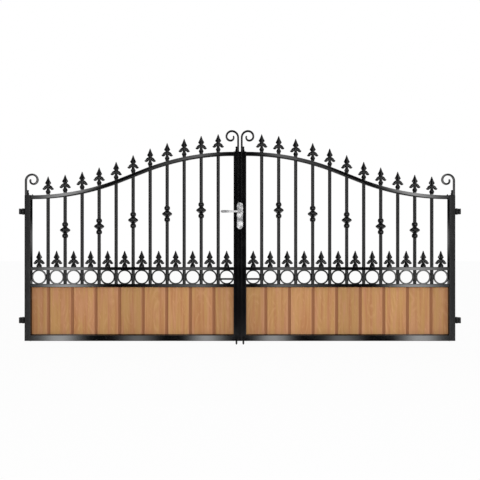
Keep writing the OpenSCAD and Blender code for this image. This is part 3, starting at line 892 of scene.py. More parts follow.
def makeBars(leaf, material, line):
    # round bars cut to the top rail, every other one with a collar
    across, places = barPlaces(leaf)
    radius = across / 2 + bars["coat"]
    foot = leaf.span("plain_bars")[0].z
    shorter = topRail["section"] / 2 - bars["intoRail"] + foot
    bm = bmesh.new()
    lathe(bm, [(bars["endHole"], 0), (radius, 0), (radius, 1), (bars["endHole"], 1)], bars["turns"])
    unit = placed("barUnit", meshOf("barUnit", bm))
    tree = standingTree(material)
    for name, first in (("plain_bars", 0), ("collar_bars", 1)):
        chosen = places[first::2]
        tall = [railHeight(line, u) - shorter for u in chosen]
        carrier = carrierMesh([(u, 0, foot) for u in chosen], stretch=tall)
        mesh = grown(tree, carrier, {"Piece": unit}, leaf.matrix())
        if first:
            mesh = joined("bars", mesh, makeCollars(leaf, chosen, line))
        grownOn(leaf, name, "_turned", mesh, material)
    bpy.data.objects.remove(unit)


def makeRings(leaf, material):
    low, high = leaf.span("rings")
    across, places = barPlaces(leaf)
    strip = {"Radius": (high.z - low.z - ring["strip"]) / 2 + ring["coat"], "Strip thickness": ring["strip"],
             "Strip depth": high.y - low.y, "Edge": ring["edge"]}
    middle = (low.z + high.z) / 2
    carrier = carrierMesh([(u, 0, middle) for u in bayMiddles(leaf, places, across / 2)])
    grownOn(leaf, "rings", "_rolled", grown(ringTree(material), carrier, strip, leaf.matrix()), material)


finial = {
    "height": 0.126, "turns": 24, "intoStile": 0.01, "sharp": 40, "stemSmooth": 2, "smooth": 3,
    # stem: height and radius, from the foot up into the blade
    "stem": [(-0.01, 0.0118), (0.003, 0.0118), (0.0075, 0.0121), (0.0125, 0.0134), (0.0175, 0.0157),
             (0.0208, 0.0168), (0.0238, 0.0168), (0.0265, 0.0158), (0.0305, 0.0134), (0.035, 0.0111),
             (0.04, 0.0103), (0.046, 0.0098), (0.052, 0.0098), (0.058, 0.01), (0.064, 0.0098),
             (0.07, 0.0068), (0.0745, 0.001)],
    # the same for a finial that stands on the ring rail, where it spreads to a cone
    "coneStem": [(0.0, 0.0182), (0.0135, 0.0182), (0.022, 0.0181), (0.0255, 0.0177), (0.0317, 0.0147),
                 (0.038, 0.0118), (0.0447, 0.0094), (0.052, 0.0094), (0.058, 0.0098), (0.064, 0.0098),
                 (0.07, 0.0068), (0.0745, 0.001)],
    # blade: height, half width and half depth, and its section as shares of those, halfway round
    "blade": [(0.062, 0.006, 0.005), (0.066, 0.0098, 0.0064), (0.0705, 0.0124, 0.0071),
              (0.0745, 0.0146, 0.0075), (0.0785, 0.0187, 0.0079), (0.0822, 0.0211, 0.008),
              (0.0865, 0.0208, 0.0078), (0.0925, 0.0171, 0.007), (0.1, 0.0132, 0.006),
              (0.109, 0.0096, 0.0049), (0.117, 0.0066, 0.0039), (0.124, 0.0042, 0.0029),
              (0.1292, 0.0021, 0.0016), (0.1306, 0.0004, 0.0004)],
    "bladeSection": ((1, 0), (0.72, 0.2), (0.4, 0.5), (0, 1), (-0.4, 0.5), (-0.72, 0.2)),
    # curled arm: place outwards, height, and half thickness in the front view
    "arm": [(0.0, 0.0585, 0.009), (0.0085, 0.0603, 0.0101), (0.0158, 0.0562, 0.0109),
            (0.0207, 0.0512, 0.0111), (0.0246, 0.0466, 0.0108), (0.0284, 0.0441, 0.0097),
            (0.0322, 0.0432, 0.008), (0.036, 0.0436, 0.0056), (0.04, 0.0454, 0.001)],
    # the arm's half depth at most and beside its thickness, and how much its section narrows to the sides
    "armDepth": 0.0066, "armDepthShare": 1.1, "armTurns": 12, "armFlat": 0.2,
}


def finialShape(drop):
    # one cast finial about its own foot; drop is how much of it the rail hides
    bm = bmesh.new()
    stem = curveThrough(finial["coneStem" if drop > 0 else "stem"], finial["stemSmooth"])
    stem = [(r, z) for z, r in stem if z >= drop]
    if drop > 0:
        stem[0] = (stem[0][0], drop)
    lathe(bm, stem, finial["turns"])
    section = [*finial["bladeSection"], *((-a, -b) for a, b in finial["bladeSection"])]
    bridge(bm, [[(half * a, thick * b, z) for a, b in section]
                for z, half, thick in curveThrough(finial["blade"], finial["smooth"])])
    arm = curveThrough(finial["arm"], finial["smooth"])
    flat = finial["armFlat"]
    for side in (1, -1):
        loops = []
        for k, (u, z, size) in enumerate(arm):
            along = heading(arm, k)
            depth = min(finial["armDepth"], size * finial["armDepthShare"])
            loops.append([(side * (u - along.y * size * math.cos(a)),
                           depth * math.sin(a) * (1 - flat + flat * abs(math.sin(a))),
                           z + along.x * size * math.cos(a)) for a in around(finial["armTurns"])])
        bridge(bm, loops)
    bmesh.ops.translate(bm, vec=(0, 0, -drop), verts=bm.verts)
    bmesh.ops.recalc_face_normals(bm, faces=bm.faces)
    return meshOf("finialShape", bm)


def makeFinials(leaf, material, line):
    # one on the top rail above every bar, and one on the ring rail in every bay
    half = topRail["section"] / 2
    _, places = barPlaces(leaf)
    rail = leaf.span("ring_rail")[1].z
    hidden = finial["height"] - (leaf.span("ring_finials")[1].z - rail)
    rows = {
        "top_finials": (0.0, [(u, 0, railHeight(line, u) + half) for u in places]),
        "ring_finials": (hidden, [(u, 0, rail) for u in bayMiddles(leaf, places, finial["intoStile"])]),
    }
    tree = standingTree(material)
    for name, (drop, points) in rows.items():
        shape = placed("finialShape", finialShape(drop))
        carrier = carrierMesh(points, stretch=[1.0] * len(points))
        mesh = grown(tree, carrier, {"Piece": shape}, leaf.matrix())
        bpy.data.objects.remove(shape)
        grownOn(leaf, name, "_cast", mesh, material, sharp=finial["sharp"])


scroll = {
    "thick": 0.0135, "deep": 0.0122, "edge": 0.0026, "edgeSteps": 3, "rise": 0.1025, "overhang": 0.0025,
    # heights of the straight part, then radii and steps of the turns, and the angle at which the last ends
    "straight": (0.0004, 0.035, 0.07), "radii": (0.0445, 0.0375, 0.0294, 0.0216), "steps": (16, 16, 14, 14),
    "end": -200,
    # the bar thins after this share of its length by so much, and closes over a round tip: place and size
    "thinFrom": 0.7, "thinBy": 0.18, "tip": ((0.35, 0.93), (0.65, 0.74), (0.88, 0.45), (0.98, 0.15)),
    "footHigh": 0.038, "footWide": 0.0155, "footLap": 0.001, "footDeeper": 0.001, "footEdge": 0.0015,
    # side of the cast foot: shares of its width and height
    "foot": [(0.45, 1.0), (0.7, 0.97), (0.78, 0.89), (0.72, 0.78), (0.64, 0.7), (0.64, 0.6),
             (0.74, 0.5), (0.84, 0.4), (0.86, 0.3), (0.82, 0.2), (0.95, 0.1), (1.05, 0.0)],
}


def scrollLine():
    # middle line of the scroll's bar, from its foot to its end
    half = scroll["thick"] / 2
    r0, r1, r2, r3 = scroll["radii"]
    s0, s1, s2, s3 = scroll["steps"]
    c0 = (half + r0, scroll["rise"])
    c1 = (c0[0], c0[1] + r0 - r1)
    c2 = (c1[0] + r1 - r2, c1[1])
    c3 = (c2[0], c2[1] + r3 - r2)
    line = [(half, z) for z in scroll["straight"]] + arcPoints(c0, r0, 180, 90, s0)
    line += arcPoints(c1, r1, 90, 0, s1)[1:] + arcPoints(c2, r2, 0, -90, s2)[1:]
    return line + arcPoints(c3, r3, -90, scroll["end"], s3)[1:]


def makeScroll(leaf, material, name, place):
    # a forged scroll with a drawn-down round end, and its cast foot
    thick, deep = scroll["thick"], scroll["deep"]
    line = scrollLine()
    count, thinFrom = len(line), scroll["thinFrom"]
    sizes = [1.0 - scroll["thinBy"] * max(0.0, (k - count * thinFrom) / (count * (1 - thinFrom)))
             for k in range(count)]
    last, size = Vector(line[-1]), sizes[-1]
    reach = (last - Vector(line[-2])).normalized() * thick * 0.5 * size
    line += [tuple(last + reach * t) for t, _ in scroll["tip"]]
    sizes += [size * share for _, share in scroll["tip"]]
    bm = bmesh.new()
    sweepFlat(bm, line, roundedOutline(thick, deep, scroll["edge"], scroll["edgeSteps"]), sizes=sizes)
    root, tall = thick - scroll["footLap"], scroll["footHigh"]
    foot = [(thick + a * scroll["footWide"], b * tall) for a, b in scroll["foot"]]
    foot = [(root, tall), *foot, (root, 0.0)]
    side = deep / 2 + scroll["footDeeper"]
    prism(bm, foot, -side, side, "y", scroll["footEdge"])
    low, high = leaf.span(name)
    u, z, turn = place
    bm.transform(Matrix(((turn, 0, 0, u), (0, 1, 0, (low.y + high.y) / 2), (0, 0, 1, z), (0, 0, 0, 1))))
    finishedOn(leaf, name, "_forged", bm, material)


caps = {
    "thick": 0.0025, "inset": 0.0002, "edge": 0.0009,
    # side of the pointed stop on the rail's low end: place along the leaf and height, and its half depth
    "nib": [(0.041, 0.0), (0.043, 0.0035), (0.0455, 0.0055), (0.047, 0.0095), (0.0485, 0.0055),
            (0.051, 0.0035), (0.053, 0.0)],
    "nibDepth": 0.006, "nibEdge": 0.001,
}


def makeScrolls(leaf, material):
    # the scrolls, with the thin caps on the stiles and the small pointed stop that go with them
    makeScroll(leaf, material, "hinge_scroll", (-scroll["overhang"], leaf.hingeTop, 1))
    makeScroll(leaf, material, "closing_scroll", (leaf.span("closing_scroll")[1].x, leaf.closingTop, -1))
    bm = bmesh.new()
    inset = caps["inset"]
    half = leaf.tube / 2 - inset
    for start, end, top in ((inset, leaf.tube, leaf.hingeTop),
                            (leaf.width - leaf.tube, leaf.width - inset, leaf.closingTop)):
        softBox(bm, (start, -half, top), (end, half, top + caps["thick"]), caps["edge"])
    nib = [(u, leaf.hingeTop + z) for u, z in caps["nib"]]
    prism(bm, nib, -caps["nibDepth"], caps["nibDepth"], "y", caps["nibEdge"])
    finished(leaf.node("stile_caps"), bm, material, leaf.body, (), leaf.matrix())


weld = {
    "turns": 6, "wave": 2.1, "spotSteps": 12, "sharp": 50,
    "sizes": {"Radius": 0.0022, "Ripple": 0.22, "Step": 0.0034},
}


def makeWelds(leaf, material, line):
    # beads of weld where rails meet the stiles and bars meet the rails
    points, edges = [], []

    def loop(outline):
        start, count = len(points), len(outline)
        points.extend(outline)
        edges.extend((start + k, start + (k + 1) % count) for k in range(count))

    for name in ("bottom_rail", "panel_rail", "ring_rail"):
        low, high = leaf.span(name)
        for u in (low.x, high.x):
            loop([(u, low.y, low.z), (u, low.y, high.z), (u, high.y, high.z), (u, high.y, low.z)])
    half = topRail["section"] / 2
    for u, z in (line[0], line[-1]):
        loop([(u, -half, z - half), (u, -half, z + half), (u, half, z + half), (u, half, z - half)])
    across, places = barPlaces(leaf)
    ringLow, ringHigh = leaf.span("ring_rail")
    for u in places:
        for z in (leaf.span("panel_rail")[1].z, ringLow.z, ringHigh.z):
            loop([(u + a, b, z) for a, b in circle(across / 2, weld["spotSteps"])])
    mesh = grown(weldTree(material), carrierMesh(points, edges), weld["sizes"], leaf.matrix())
    finishedMesh(leaf.node("weld_beads"), mesh, material, leaf.body, (), weld["sharp"])


dropBolt = {
    "turns": 20, "coat": 0.0006, "longer": 0.003,
    # from the foot up: height and size of the point, then heights of the straight part
    "point": [(0.0, 0.35), (0.0015, 0.6), (0.004, 0.86), (0.0065, 1.0)], "straight": (0.1, 0.25),
    "beforeBend": 0.02, "bendInside": 0.003, "bendSteps": 10,
    # the handle: distance from its end, and size
    "handle": [(0.03, 1.0), (0.0035, 1.0), (0.0012, 0.9), (0.0, 0.55)],
}


def makeDropBolt(leaf, material):
    # a round rod with a pointed foot, bent over at the top to make its handle; returns its place and radius
    low, high = leaf.span("drop_bolt")
    foot = low.z - dropBolt["longer"]
    radius = (high.y - low.y) / 2 + dropBolt["coat"]
    middleY = (high.y + low.y) / 2
    u = high.x - radius
    bend = 2 * radius + dropBolt["bendInside"]
    handle = high.z - radius
    line = [(u, foot + z) for z, _ in dropBolt["point"]] + [(u, foot + z) for z in dropBolt["straight"]]
    line += [(u, handle - bend - dropBolt["beforeBend"])]
    line += arcPoints((u - bend, handle - bend), bend, 0, 90, dropBolt["bendSteps"])
    plain = len(line) - len(dropBolt["point"])
    line += [(low.x + reach, handle) for reach, _ in dropBolt["handle"]]
    point, end = ([size for _, size in dropBolt[part]] for part in ("point", "handle"))
    sizes = point + [1.0] * plain + end
    bm = bmesh.new()
    sweepFlat(bm, line, circle(radius, dropBolt["turns"]), depth=middleY, sizes=sizes)
    finishedOn(leaf, "drop_bolt", "_rod", bm, material, body=leaf.side + "_bolt")
    return u, middleY, radius


guides = {"steps": 48, "play": 0.0006, "tall": 0.02, "ease": 0.0012, "endShare": 0.94}


def makeGuides(leaf, material, rod):
    # two sleeves that the rod slides in, each welded to the stile by its flat side
    u, middleY, radius = rod
    low, high = leaf.span("bolt_guides")
    half, flat = (high.x - low.x) / 2, middleY - low.y
    bore = circle(radius + guides["play"], guides["steps"])
    rim = []
    for dx, dy in circle(1.0, guides["steps"]):
        # round away from the stile, straight at the sides and flat against it
        reach = half if dy >= 0 else min(half / max(abs(dx), hairline), flat / abs(dy))
        rim.append((reach * dx, reach * dy))
    small = [(a * guides["endShare"], b * guides["endShare"]) for a, b in rim]
    tall, ease = guides["tall"], guides["ease"]
    levels = ((0.0, small), (ease, rim), (tall - ease, rim), (tall, small), (tall - ease / 2, bore),
              (ease / 2, bore))
    bm = bmesh.new()
    for foot in (low.z, high.z - tall):
        bridge(bm, [[(u + a, middleY + b, foot + level) for a, b in loop] for level, loop in levels],
               closed=True)
    finishedOn(leaf, "bolt_guides", "_sleeves", bm, material)


hinge = {
    "plateThick": 0.012, "plateEdge": 0.0012, "tail": 0.024, "boreSteps": 32, "lap": 0.001,
    "ear": 0.008, "earEdge": 0.001, "earSteps": 16, "pin": 0.006, "pinTurns": 24,
    # the pin's riveted head: radius, and depth into the ear's face, below zero where it stands out
    "head": [(0.0001, -0.003), (0.00425, -0.00279), (0.007225, -0.0018), (0.0085, 0.0002), (0.006, 0.0002)],
    "eye": 0.0095, "eyeHigh": 0.0232, "eyeEdge": 0.0012, "eyeTurns": 32, "pinPlay": 0.00006,
    "shank": 0.006, "shankTurns": 20, "shankFrom": 0.86, "standOff": 0.0002,
    # nut and washer: distance from the stile, thickness, corners and size beside the nut's
    "nutFlats": 0.0165, "nutOut": 0.006, "nutEase": 0.0006, "nutShare": 0.93,
    "onShank": ((0.0002, 0.0014, 28, 1.02), (0.0018, 0.0042, 6, 1.0)),
}

thread = {"steps": 20, "turns": 5, "pitch": 0.0018, "depth": 0.0007, "sunk": 0.0002, "from": 0.98}


def tailPlate(bm, shape, holes, radius):
    # an upright plate with a tall head and a lower round-ended tail, with round holes through the tail
    edge, thick = hinge["plateEdge"], hinge["plateThick"]
    front, neck, end, tall, low = shape
    half = low / 2
    # the head in front of the holes, up to the first hole's square
    softBox(bm, (0.0, front, -tall / 2), (thick, neck, tall / 2), edge)
    squares = [neck - hinge["lap"], sum(holes) / 2, end]
    for k, y in enumerate(holes):
        near, far = squares[k], squares[k + 1]
        rim, bore, wide = [], [], []
        for a in around(hinge["boreSteps"], 0.5):
            dy, dz = math.cos(a), math.sin(a)
            if k and dy > 0:
                # the round end about its own middle
                centre = end - half - y
                reach = centre * dy + math.sqrt(half * half - (centre * dz) ** 2)
            else:
                reach = min(((far if dy > 0 else near) - y) / dy, half / abs(dz))
            for loop, size in ((rim, reach), (bore, radius), (wide, radius + edge)):
                loop.append((y + dy * size, dz * size))
        for corner in [(near, -half), (near, half)] + ([] if k else [(far, -half), (far, half)]):
            rim[min(range(len(rim)), key=lambda n: math.dist(rim[n], corner))] = corner
        levels = ((0.0, rim), (thick, rim), (thick, wide), (thick - edge, bore), (edge, bore), (0.0, wide))
        bridge(bm, [[(level, *p) for p in loop] for level, loop in levels], closed=True)


def makeBracket(leaf, name, material):
    # post plate, two ears with round ends, and the riveted pin with its heads
    low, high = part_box(name)
    face = low.x if leaf.sign > 0 else high.x
    tall = high.z - low.z
    offset = abs(leaf.edge + leaf.sign * leaf.pin - face)
    eye, ear, head = hinge["eye"], hinge["ear"], hinge["head"]
    bolts = next(m for m in frame["record"]["mounts"] if m["name"] == name.replace("bracket", "bolts"))
    middle, half = bolts["pos_m"][1], bolts["dims"]["spacing_x_mm"] * mm / 2
    bm = bmesh.new()
    tailPlate(bm, (low.y, eye, high.y, tall, hinge["tail"]), (middle - half, middle + half),
              bolts["dims"]["hole_r_mm"] * mm)
    root = hinge["plateThick"] - hinge["lap"]
    outline = [(root, -eye), *arcPoints((offset, 0.0), eye, -90, 90, hinge["earSteps"]), (root, eye)]
    for foot in (-tall / 2, tall / 2 - ear):
        prism(bm, outline, foot, foot + ear, "z", hinge["earEdge"])
    pin = head + [(r, tall - z) for r, z in reversed(head)]
    lathe(bm, pin, hinge["pinTurns"], (offset, 0.0, -tall / 2))
    matrix = Matrix(((leaf.sign, 0, 0, face), (0, 1, 0, 0), (0, 0, 1, (low.z + high.z) / 2), (0, 0, 0, 1)))
    finished(name + "_forged", bm, material, "posts_side", [name], matrix)


def makeEye(leaf, name, material):
    # the eye, its threaded shank, a washer and a nut against the stile
    low, high = leaf.span(name)
    u, z = leaf.pin, (low.z + high.z) / 2
    half, edge = hinge["eyeHigh"] / 2, hinge["eyeEdge"]
    outer, inner = hinge["eye"], hinge["pin"] + hinge["pinPlay"]
    profile = ((inner, -half), (outer - edge, -half), (outer, edge - half), (outer, half - edge),
               (outer - edge, half), (inner, half))
    bm = bmesh.new()
    bridge(bm, [[(u + a, b, z + h) for a, b in circle(r, hinge["eyeTurns"])] for r, h in profile],
           closed=True)
    shank = [(u + outer * hinge["shankFrom"], z), (-hinge["standOff"], z)]
    sweepFlat(bm, shank, circle(hinge["shank"], hinge["shankTurns"]))
    flats = hinge["nutFlats"] / 2 / math.cos(math.pi / 6)
    ease, share = hinge["nutEase"], hinge["nutShare"]
    for out, thick, corners, size in hinge["onShank"]:
        levels = ((out, share), (out + ease, 1.0), (out + thick - ease, 1.0), (out + thick, share))
        shape = circle(flats * size, corners)
        bridge(bm, [[(-level, a * s, z + b * s) for a, b in shape] for level, s in levels])
    bm.transform(leaf.matrix())
    bmesh.ops.recalc_face_normals(bm, faces=bm.faces)
    start = u + outer * thread["from"]
    turns = (-hinge["standOff"] - hinge["nutOut"] - start) / thread["pitch"]
    wound = grown(threadTree(material), carrierMesh([(start, 0, z)]),
                  {"Radius": hinge["shank"] - thread["sunk"], "Pitch": thread["pitch"], "Turns": turns,
                   "Depth": thread["depth"]}, leaf.matrix())
    grownOn(leaf, name, "_forged", joined(name, meshOf(name, bm), wound), material)


stopStrip = {"foot": 0.001, "lip": 0.005, "lap": 0.001, "lipEdge": 0.0022, "lipSteps": 3, "backEdge": 0.0004}


def makeStrip(material):
    # the folded stop strip over the gap, with eased edges
    low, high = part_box("stop_strip")
    foot, lip = leaves[0].foot + stopStrip["foot"], low.y + stopStrip["lip"]
    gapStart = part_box("left_closing_stile")[1].x
    bm = bmesh.new()
    softBox(bm, (low.x, low.y, foot), (high.x, lip, high.z), stopStrip["lipEdge"], stopStrip["lipSteps"])
    softBox(bm, (low.x, lip - stopStrip["lap"], foot), (gapStart, high.y, high.z), stopStrip["backEdge"], 1)
    finished("stop_strip_folded", bm, material, "left_leaf", ["stop_strip"])


lockPlate = {
    # the plate's rim and its face, which is sunk a little: distance in from the front, and from the outline
    "rim": 0.0016, "rimShare": 0.3, "face": ((0.0, 0.0042), (0.0005, 0.0048)),
    # the screws: distance from the plate's ends, side of the head as radius and height over the face
    "screwInset": 0.012, "screwTurns": 18,
    "screw": [(0.0001, 0.001), (0.00252, 0.0008), (0.0042, 0.0), (0.0042, -0.0014), (0.0001, -0.0014)],
    # the head's cross: half length and half width, and how far out it starts and ends
    "slot": (0.0027, 0.0005), "slotFrom": 0.00125, "slotTo": 0.0005, "slotEdge": 0.0001,
}


def makeLockPlate(metal, dark):
    # the pressed plate with its two screws, and the screws' crosses as dark pieces of painted shade
    low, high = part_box("lock_plate")
    size, middle = high - low, (low + high) / 2
    rim, share = lockPlate["rim"], lockPlate["rimShare"]
    levels = [(high.y - low.y, 0.0), (rim, 0.0), (rim * share, rim * share), (0.0, rim), *lockPlate["face"]]
    plate, slots = bmesh.new(), bmesh.new()
    bridge(plate, [[(middle.x + a, low.y + back, middle.z + b)
                    for a, b in roundEnded(size.x - 2 * inset, size.z - 2 * inset)]
                   for back, inset in levels])
    wide, narrow = lockPlate["slot"]
    front, behind = low.y - lockPlate["slotFrom"], low.y - lockPlate["slotTo"]
    for side in (-1, 1):
        z = middle.z + side * (size.z / 2 - lockPlate["screwInset"])
        turnForward(plate, lockPlate["screw"], (middle.x, low.y, z), lockPlate["screwTurns"])
        for a, b in ((wide, narrow), (narrow, wide)):
            softBox(slots, (middle.x - a, front, z - b), (middle.x + a, behind, z + b),
                    lockPlate["slotEdge"], 1)
    finished("lock_plate_pressed", plate, metal, "left_leaf", ["lock_plate"])
    finished("lock_screw_slots", slots, dark, "left_leaf")


cylinder = {
    "body": 0.0085, "bodyArc": (-52, 232, 22), "tail": 0.005, "tailArc": (180, 360, 12), "edge": 0.0005,
    # side of the turning plug: radius, and distance out from the cylinder's face
    "plug": [(0.0001, 0.0005), (0.0062, 0.0005), (0.0066, 0.0002), (0.0066, -0.0005)], "plugTurns": 28,
    # the keyway's parts about the plug's middle: sideways from and to, then up from and to
    "keyway": ((-0.0007, 0.0007, -0.0036, 0.0042), (-0.0013, 0.0007, -0.0006, 0.0006)),
    "keyFrom": 0.0007, "keyTo": 0.0002, "keyEdge": 0.0001,
}


def makeCylinder(metal, dark):
    # the pear-shaped lock cylinder, its turning plug, and its keyway as dark pieces of painted shade
    low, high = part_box("lock_cylinder")
    x, z = (low.x + high.x) / 2, high.z - cylinder["body"]
    outline = (arcPoints((x, z), cylinder["body"], *cylinder["bodyArc"])
               + arcPoints((x, low.z + cylinder["tail"]), cylinder["tail"], *cylinder["tailArc"]))
    bm = bmesh.new()
    prism(bm, outline, low.y, high.y, "y", cylinder["edge"])
    turnForward(bm, cylinder["plug"], (x, low.y, z), cylinder["plugTurns"])
    finished("lock_cylinder_turned", bm, metal, "left_leaf", ["lock_cylinder"])
    key = bmesh.new()
    front, behind = low.y - cylinder["keyFrom"], low.y - cylinder["keyTo"]
    for left, right, foot, top in cylinder["keyway"]:
        softBox(key, (x + left, front, z + foot), (x + right, behind, z + top), cylinder["keyEdge"], 1)
    finished("keyway", key, dark, "left_leaf")


lever = {
    # the rose and neck: radius, and distance out from the plate
    "rose": [(0.0001, 0.0), (0.0145, 0.0), (0.0145, 0.0048), (0.0139, 0.0062), (0.0125, 0.007),
             (0.0105, 0.007), (0.0095, 0.0076), (0.009, 0.01), (0.0001, 0.01)],
    "roseTurns": 36, "gripTurns": 24, "smooth": 4, "sharp": 45,
    # how far the grip hangs below the spindle, the reach at which it does, and where the painted shade on the grip
    # is darkest
    "droop": 0.003, "droopReach": 0.02, "held": 1.449,
    # grip: place towards the hinge side, distance out from the spindle's foot, half height, half depth
    "grip": [(0.0, 0.0, 0.0085, 0.0085), (0.0, 0.012, 0.0078, 0.0078), (0.0, 0.024, 0.0075, 0.0075),
             (0.002, 0.034, 0.0075, 0.0072), (0.01, 0.0405, 0.0074, 0.0062), (0.022, 0.0425, 0.0068, 0.0054),
             (0.042, 0.0425, 0.0066, 0.0052), (0.066, 0.042, 0.0072, 0.0053), (0.09, 0.041, 0.0084, 0.0056),
             (0.11, 0.0395, 0.0091, 0.0057), (0.1225, 0.038, 0.0086, 0.0054), (0.129, 0.037, 0.0066, 0.0042),
             (0.1325, 0.0365, 0.0026, 0.0018)],
}


def makeLever(metal):
    # a turned rose and neck, and a flattened grip that curves back towards the gate at its tip
    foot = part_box("lever")[1].y
    x, _, z = next(j for j in frame["joints"] if j["name"] == "lever_turn")["pos_m"]
    bm = bmesh.new()
    turnForward(bm, lever["rose"], (x, foot, z), lever["roseTurns"])
    line = curveThrough(lever["grip"], lever["smooth"])
    loops = []
    for k, (reach, out, tall, deep) in enumerate(line):
        along = heading(line, k)
        middle = z - lever["droop"] * min(1.0, reach / lever["droopReach"])
        loops.append([(x - reach - along.y * a * deep, foot - out + along.x * a * deep, middle + b * tall)
                      for a, b in circle(1.0, lever["gripTurns"])])
    bridge(bm, loops)
    finished("lever_grip", bm, metal, "lever", ["lever"], sharp=lever["sharp"])


def buildLeaf(leaf, black, hingeBlack):
    line = topRailLine(leaf)
    makeFrame(leaf, black)
    makeTopRail(leaf, black, line)
    makeBoards(leaf, boardOak(leaf))
    makeBead(leaf, black)
    makeBars(leaf, black, line)
    makeRings(leaf, black)
    makeFinials(leaf, black, line)
    makeScrolls(leaf, black)
    makeWelds(leaf, black, line)
    makeGuides(leaf, black, makeDropBolt(leaf, black))
    for name in ("lower_eye", "upper_eye"):
        makeEye(leaf, name, hingeBlack)
    print(leaf.side, "leaf made")


black = gatePaint()
hingeBlack = hingePaint()
metal = satinMetal("satinMetal")
dark = darkSlot()
for leaf in leaves:
    buildLeaf(leaf, black, hingeBlack)
for leaf in leaves:
    for name in ("lower_bracket", "upper_bracket"):
        makeBracket(leaf, leaf.node(name), hingeBlack)
print("brackets made")
makeStrip(black)
makeLockPlate(metal, dark)
makeCylinder(metal, dark)
makeLever(satinMetal("satinLever", held=lever["held"]))
print("lock and strip made")


studio = {
    "ambient": 0.62, "white": 1.0, "camera": (1.5565, -3.5, 0.566), "lens": 37.17, "sensor": 36.0,
    "floor": rgb(238, 238, 238), "floorDrop": 0.004, "floorReach": 14.0, "floorWhite": 0.95,
    # soft upright strips that only reflections show: place sideways and half width, both as shares of the
    # distance ahead, and strength; those low down differ from those higher up
    "lowStrips": [(0.45, 0.06, 1.1), (0.365, 0.07, 9.0), (0.207, 0.062, 3.4), (0.068, 0.06, 8.0)],
    "highStrips": [(0.45, 0.06, 0.6), (0.352, 0.098, 8.4), (0.13, 0.1, 1.4), (0.08, 0.066, 2.8)],
    # how peaked a strip is, the rise over which the low ones give way, and the rise at which all end
    "peak": 1.7, "lowEnd": (-0.19, -0.11), "stripTop": (0.25, 0.5),
    # wide glows: strength, and the directions between which each comes in
    "rightGlow": (0.9, 0.4, 0.8), "leftGlow": (0.25, -0.4, -0.8), "backGlow": (1.2, -0.2, -0.4),
    "aboveGlow": (0.9, 0.8, 2.5), "behind": (-0.1, 0.4), "dim": 0.03,
    # what the stiles' inner faces show of the room behind: place in height, half height and strength
    "sideFrom": (0.26, 0.36), "sideBands": [(0.002, 0.042, 0.66), (-0.105, 0.05, 1.1)], "sideFull": 0.1,
    "least": 0.001,
    # soft lamps: place, what they face, size and power
    "lamps": {"keyLamp": ((1.8, -5.0, 1.3), (1.556, 0, 0.4), (3.4, 2.2), 115),
              "sideLamp": ((6.4, -3.6, 1.2), (1.8, 0, 0.5), (1.6, 2.6), 22)},
}


def reflected(book):
    # brightness of what shiny surfaces see: dark surroundings with soft strips, and wide glows at the sides,
    # behind and above
    x, y, z = book.split(book.coords("Generated"))
    sideways = abs(x) / abs(y).maths("MAXIMUM", studio["least"])
    rise = z / (x * x + y * y).maths("SQRT").maths("MAXIMUM", studio["least"])

    def glow(value, name):
        strength, start, full = studio[name]
        return strength * book.between(value, start, full)

    low, high = (sum(strength * book.between(abs(sideways - place), half, 0.0) ** studio["peak"]
                     for place, half, strength in studio[name]) for name in ("lowStrips", "highStrips"))
    upper = book.between(rise, *studio["lowEnd"])
    strips = (low * (1.0 - upper) + high * upper) * (1.0 - book.between(abs(rise), *studio["stripTop"]))
    bands = sum(strength * book.between(abs(rise - place), half, half * studio["sideFull"])
                for place, half, strength in studio["sideBands"])
    behind = book.between(y, *studio["behind"])
    ahead = strips + glow(x, "rightGlow") + glow(x, "leftGlow")
    room = glow(rise, "backGlow") + bands * book.between(sideways, *studio["sideFrom"])
    return ahead * (1.0 - behind) + room * behind + studio["dim"] + glow(rise, "aboveGlow")


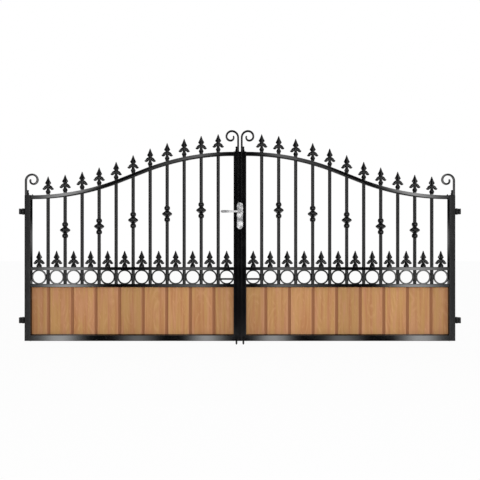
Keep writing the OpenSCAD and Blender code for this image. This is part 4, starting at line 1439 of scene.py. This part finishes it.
def makeWorld():
    # even light on the object, plain white behind it, and the dark surroundings for reflections
    world = bpy.data.worlds.new("studio")
    scene.world = world
    book = emptyBook(world)
    seen, shiny = book.rays()
    strength = seen.ranged(studio["ambient"], studio["white"]) * (1.0 - shiny) + reflected(book) * shiny
    light = book.add("ShaderNodeBackground", sockets={"Color": (1, 1, 1, 1), "Strength": strength})
    book.add("ShaderNodeOutputWorld", sockets={"Surface": light})


def makeFloor():
    # a pale floor: white to the camera, with the gate's shadow left on it faintly
    low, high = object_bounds()
    z = low.z - studio["floorDrop"]
    middle, reach = (low.x + high.x) / 2, studio["floorReach"]
    mesh = bpy.data.meshes.new("floor")
    corners = ((-reach, -reach), (reach, -reach), (reach, reach), (-reach, reach))
    mesh.from_pydata([(middle + x, y, z) for x, y in corners], [], [(0, 1, 2, 3)])
    material = bpy.data.materials.new("paleFloor")
    book = emptyBook(material)
    seen, _ = book.rays()
    matte = book.add("ShaderNodeBsdfDiffuse", sockets={"Color": studio["floor"]})
    bright = book.add("ShaderNodeEmission", sockets={"Color": (1, 1, 1, 1), "Strength": studio["white"]})
    blend = book.add("ShaderNodeMixShader", sockets={0: seen * studio["floorWhite"], 1: matte, 2: bright})
    book.add("ShaderNodeOutputMaterial", sockets={"Surface": blend})
    mesh.materials.append(material)
    floor = placed("floor", mesh)
    floor.visible_glossy = False


def makeLamp(name, place, aim, size, power):
    # a soft lamp that lights the object without showing in its shiny parts
    data = bpy.data.lights.new(name, "AREA")
    data.shape = "RECTANGLE"
    data.size, data.size_y = size
    data.energy = power
    lamp = placed(name, data)
    lamp.location = place
    lamp.rotation_euler = (Vector(aim) - Vector(place)).to_track_quat("-Z", "Y").to_euler()
    lamp.visible_glossy = False


def makeCamera():
    data = bpy.data.cameras.new("camera")
    data.lens = studio["lens"]
    data.sensor_width = studio["sensor"]
    camera = placed("camera", data)
    camera.location = studio["camera"]
    camera.rotation_euler = (math.pi / 2, 0, 0)
    scene.camera = camera


makeWorld()
makeFloor()
for name, settings in studio["lamps"].items():
    makeLamp(name, *settings)
makeCamera()
scene.view_settings.view_transform = "Standard"
print("stage ready")
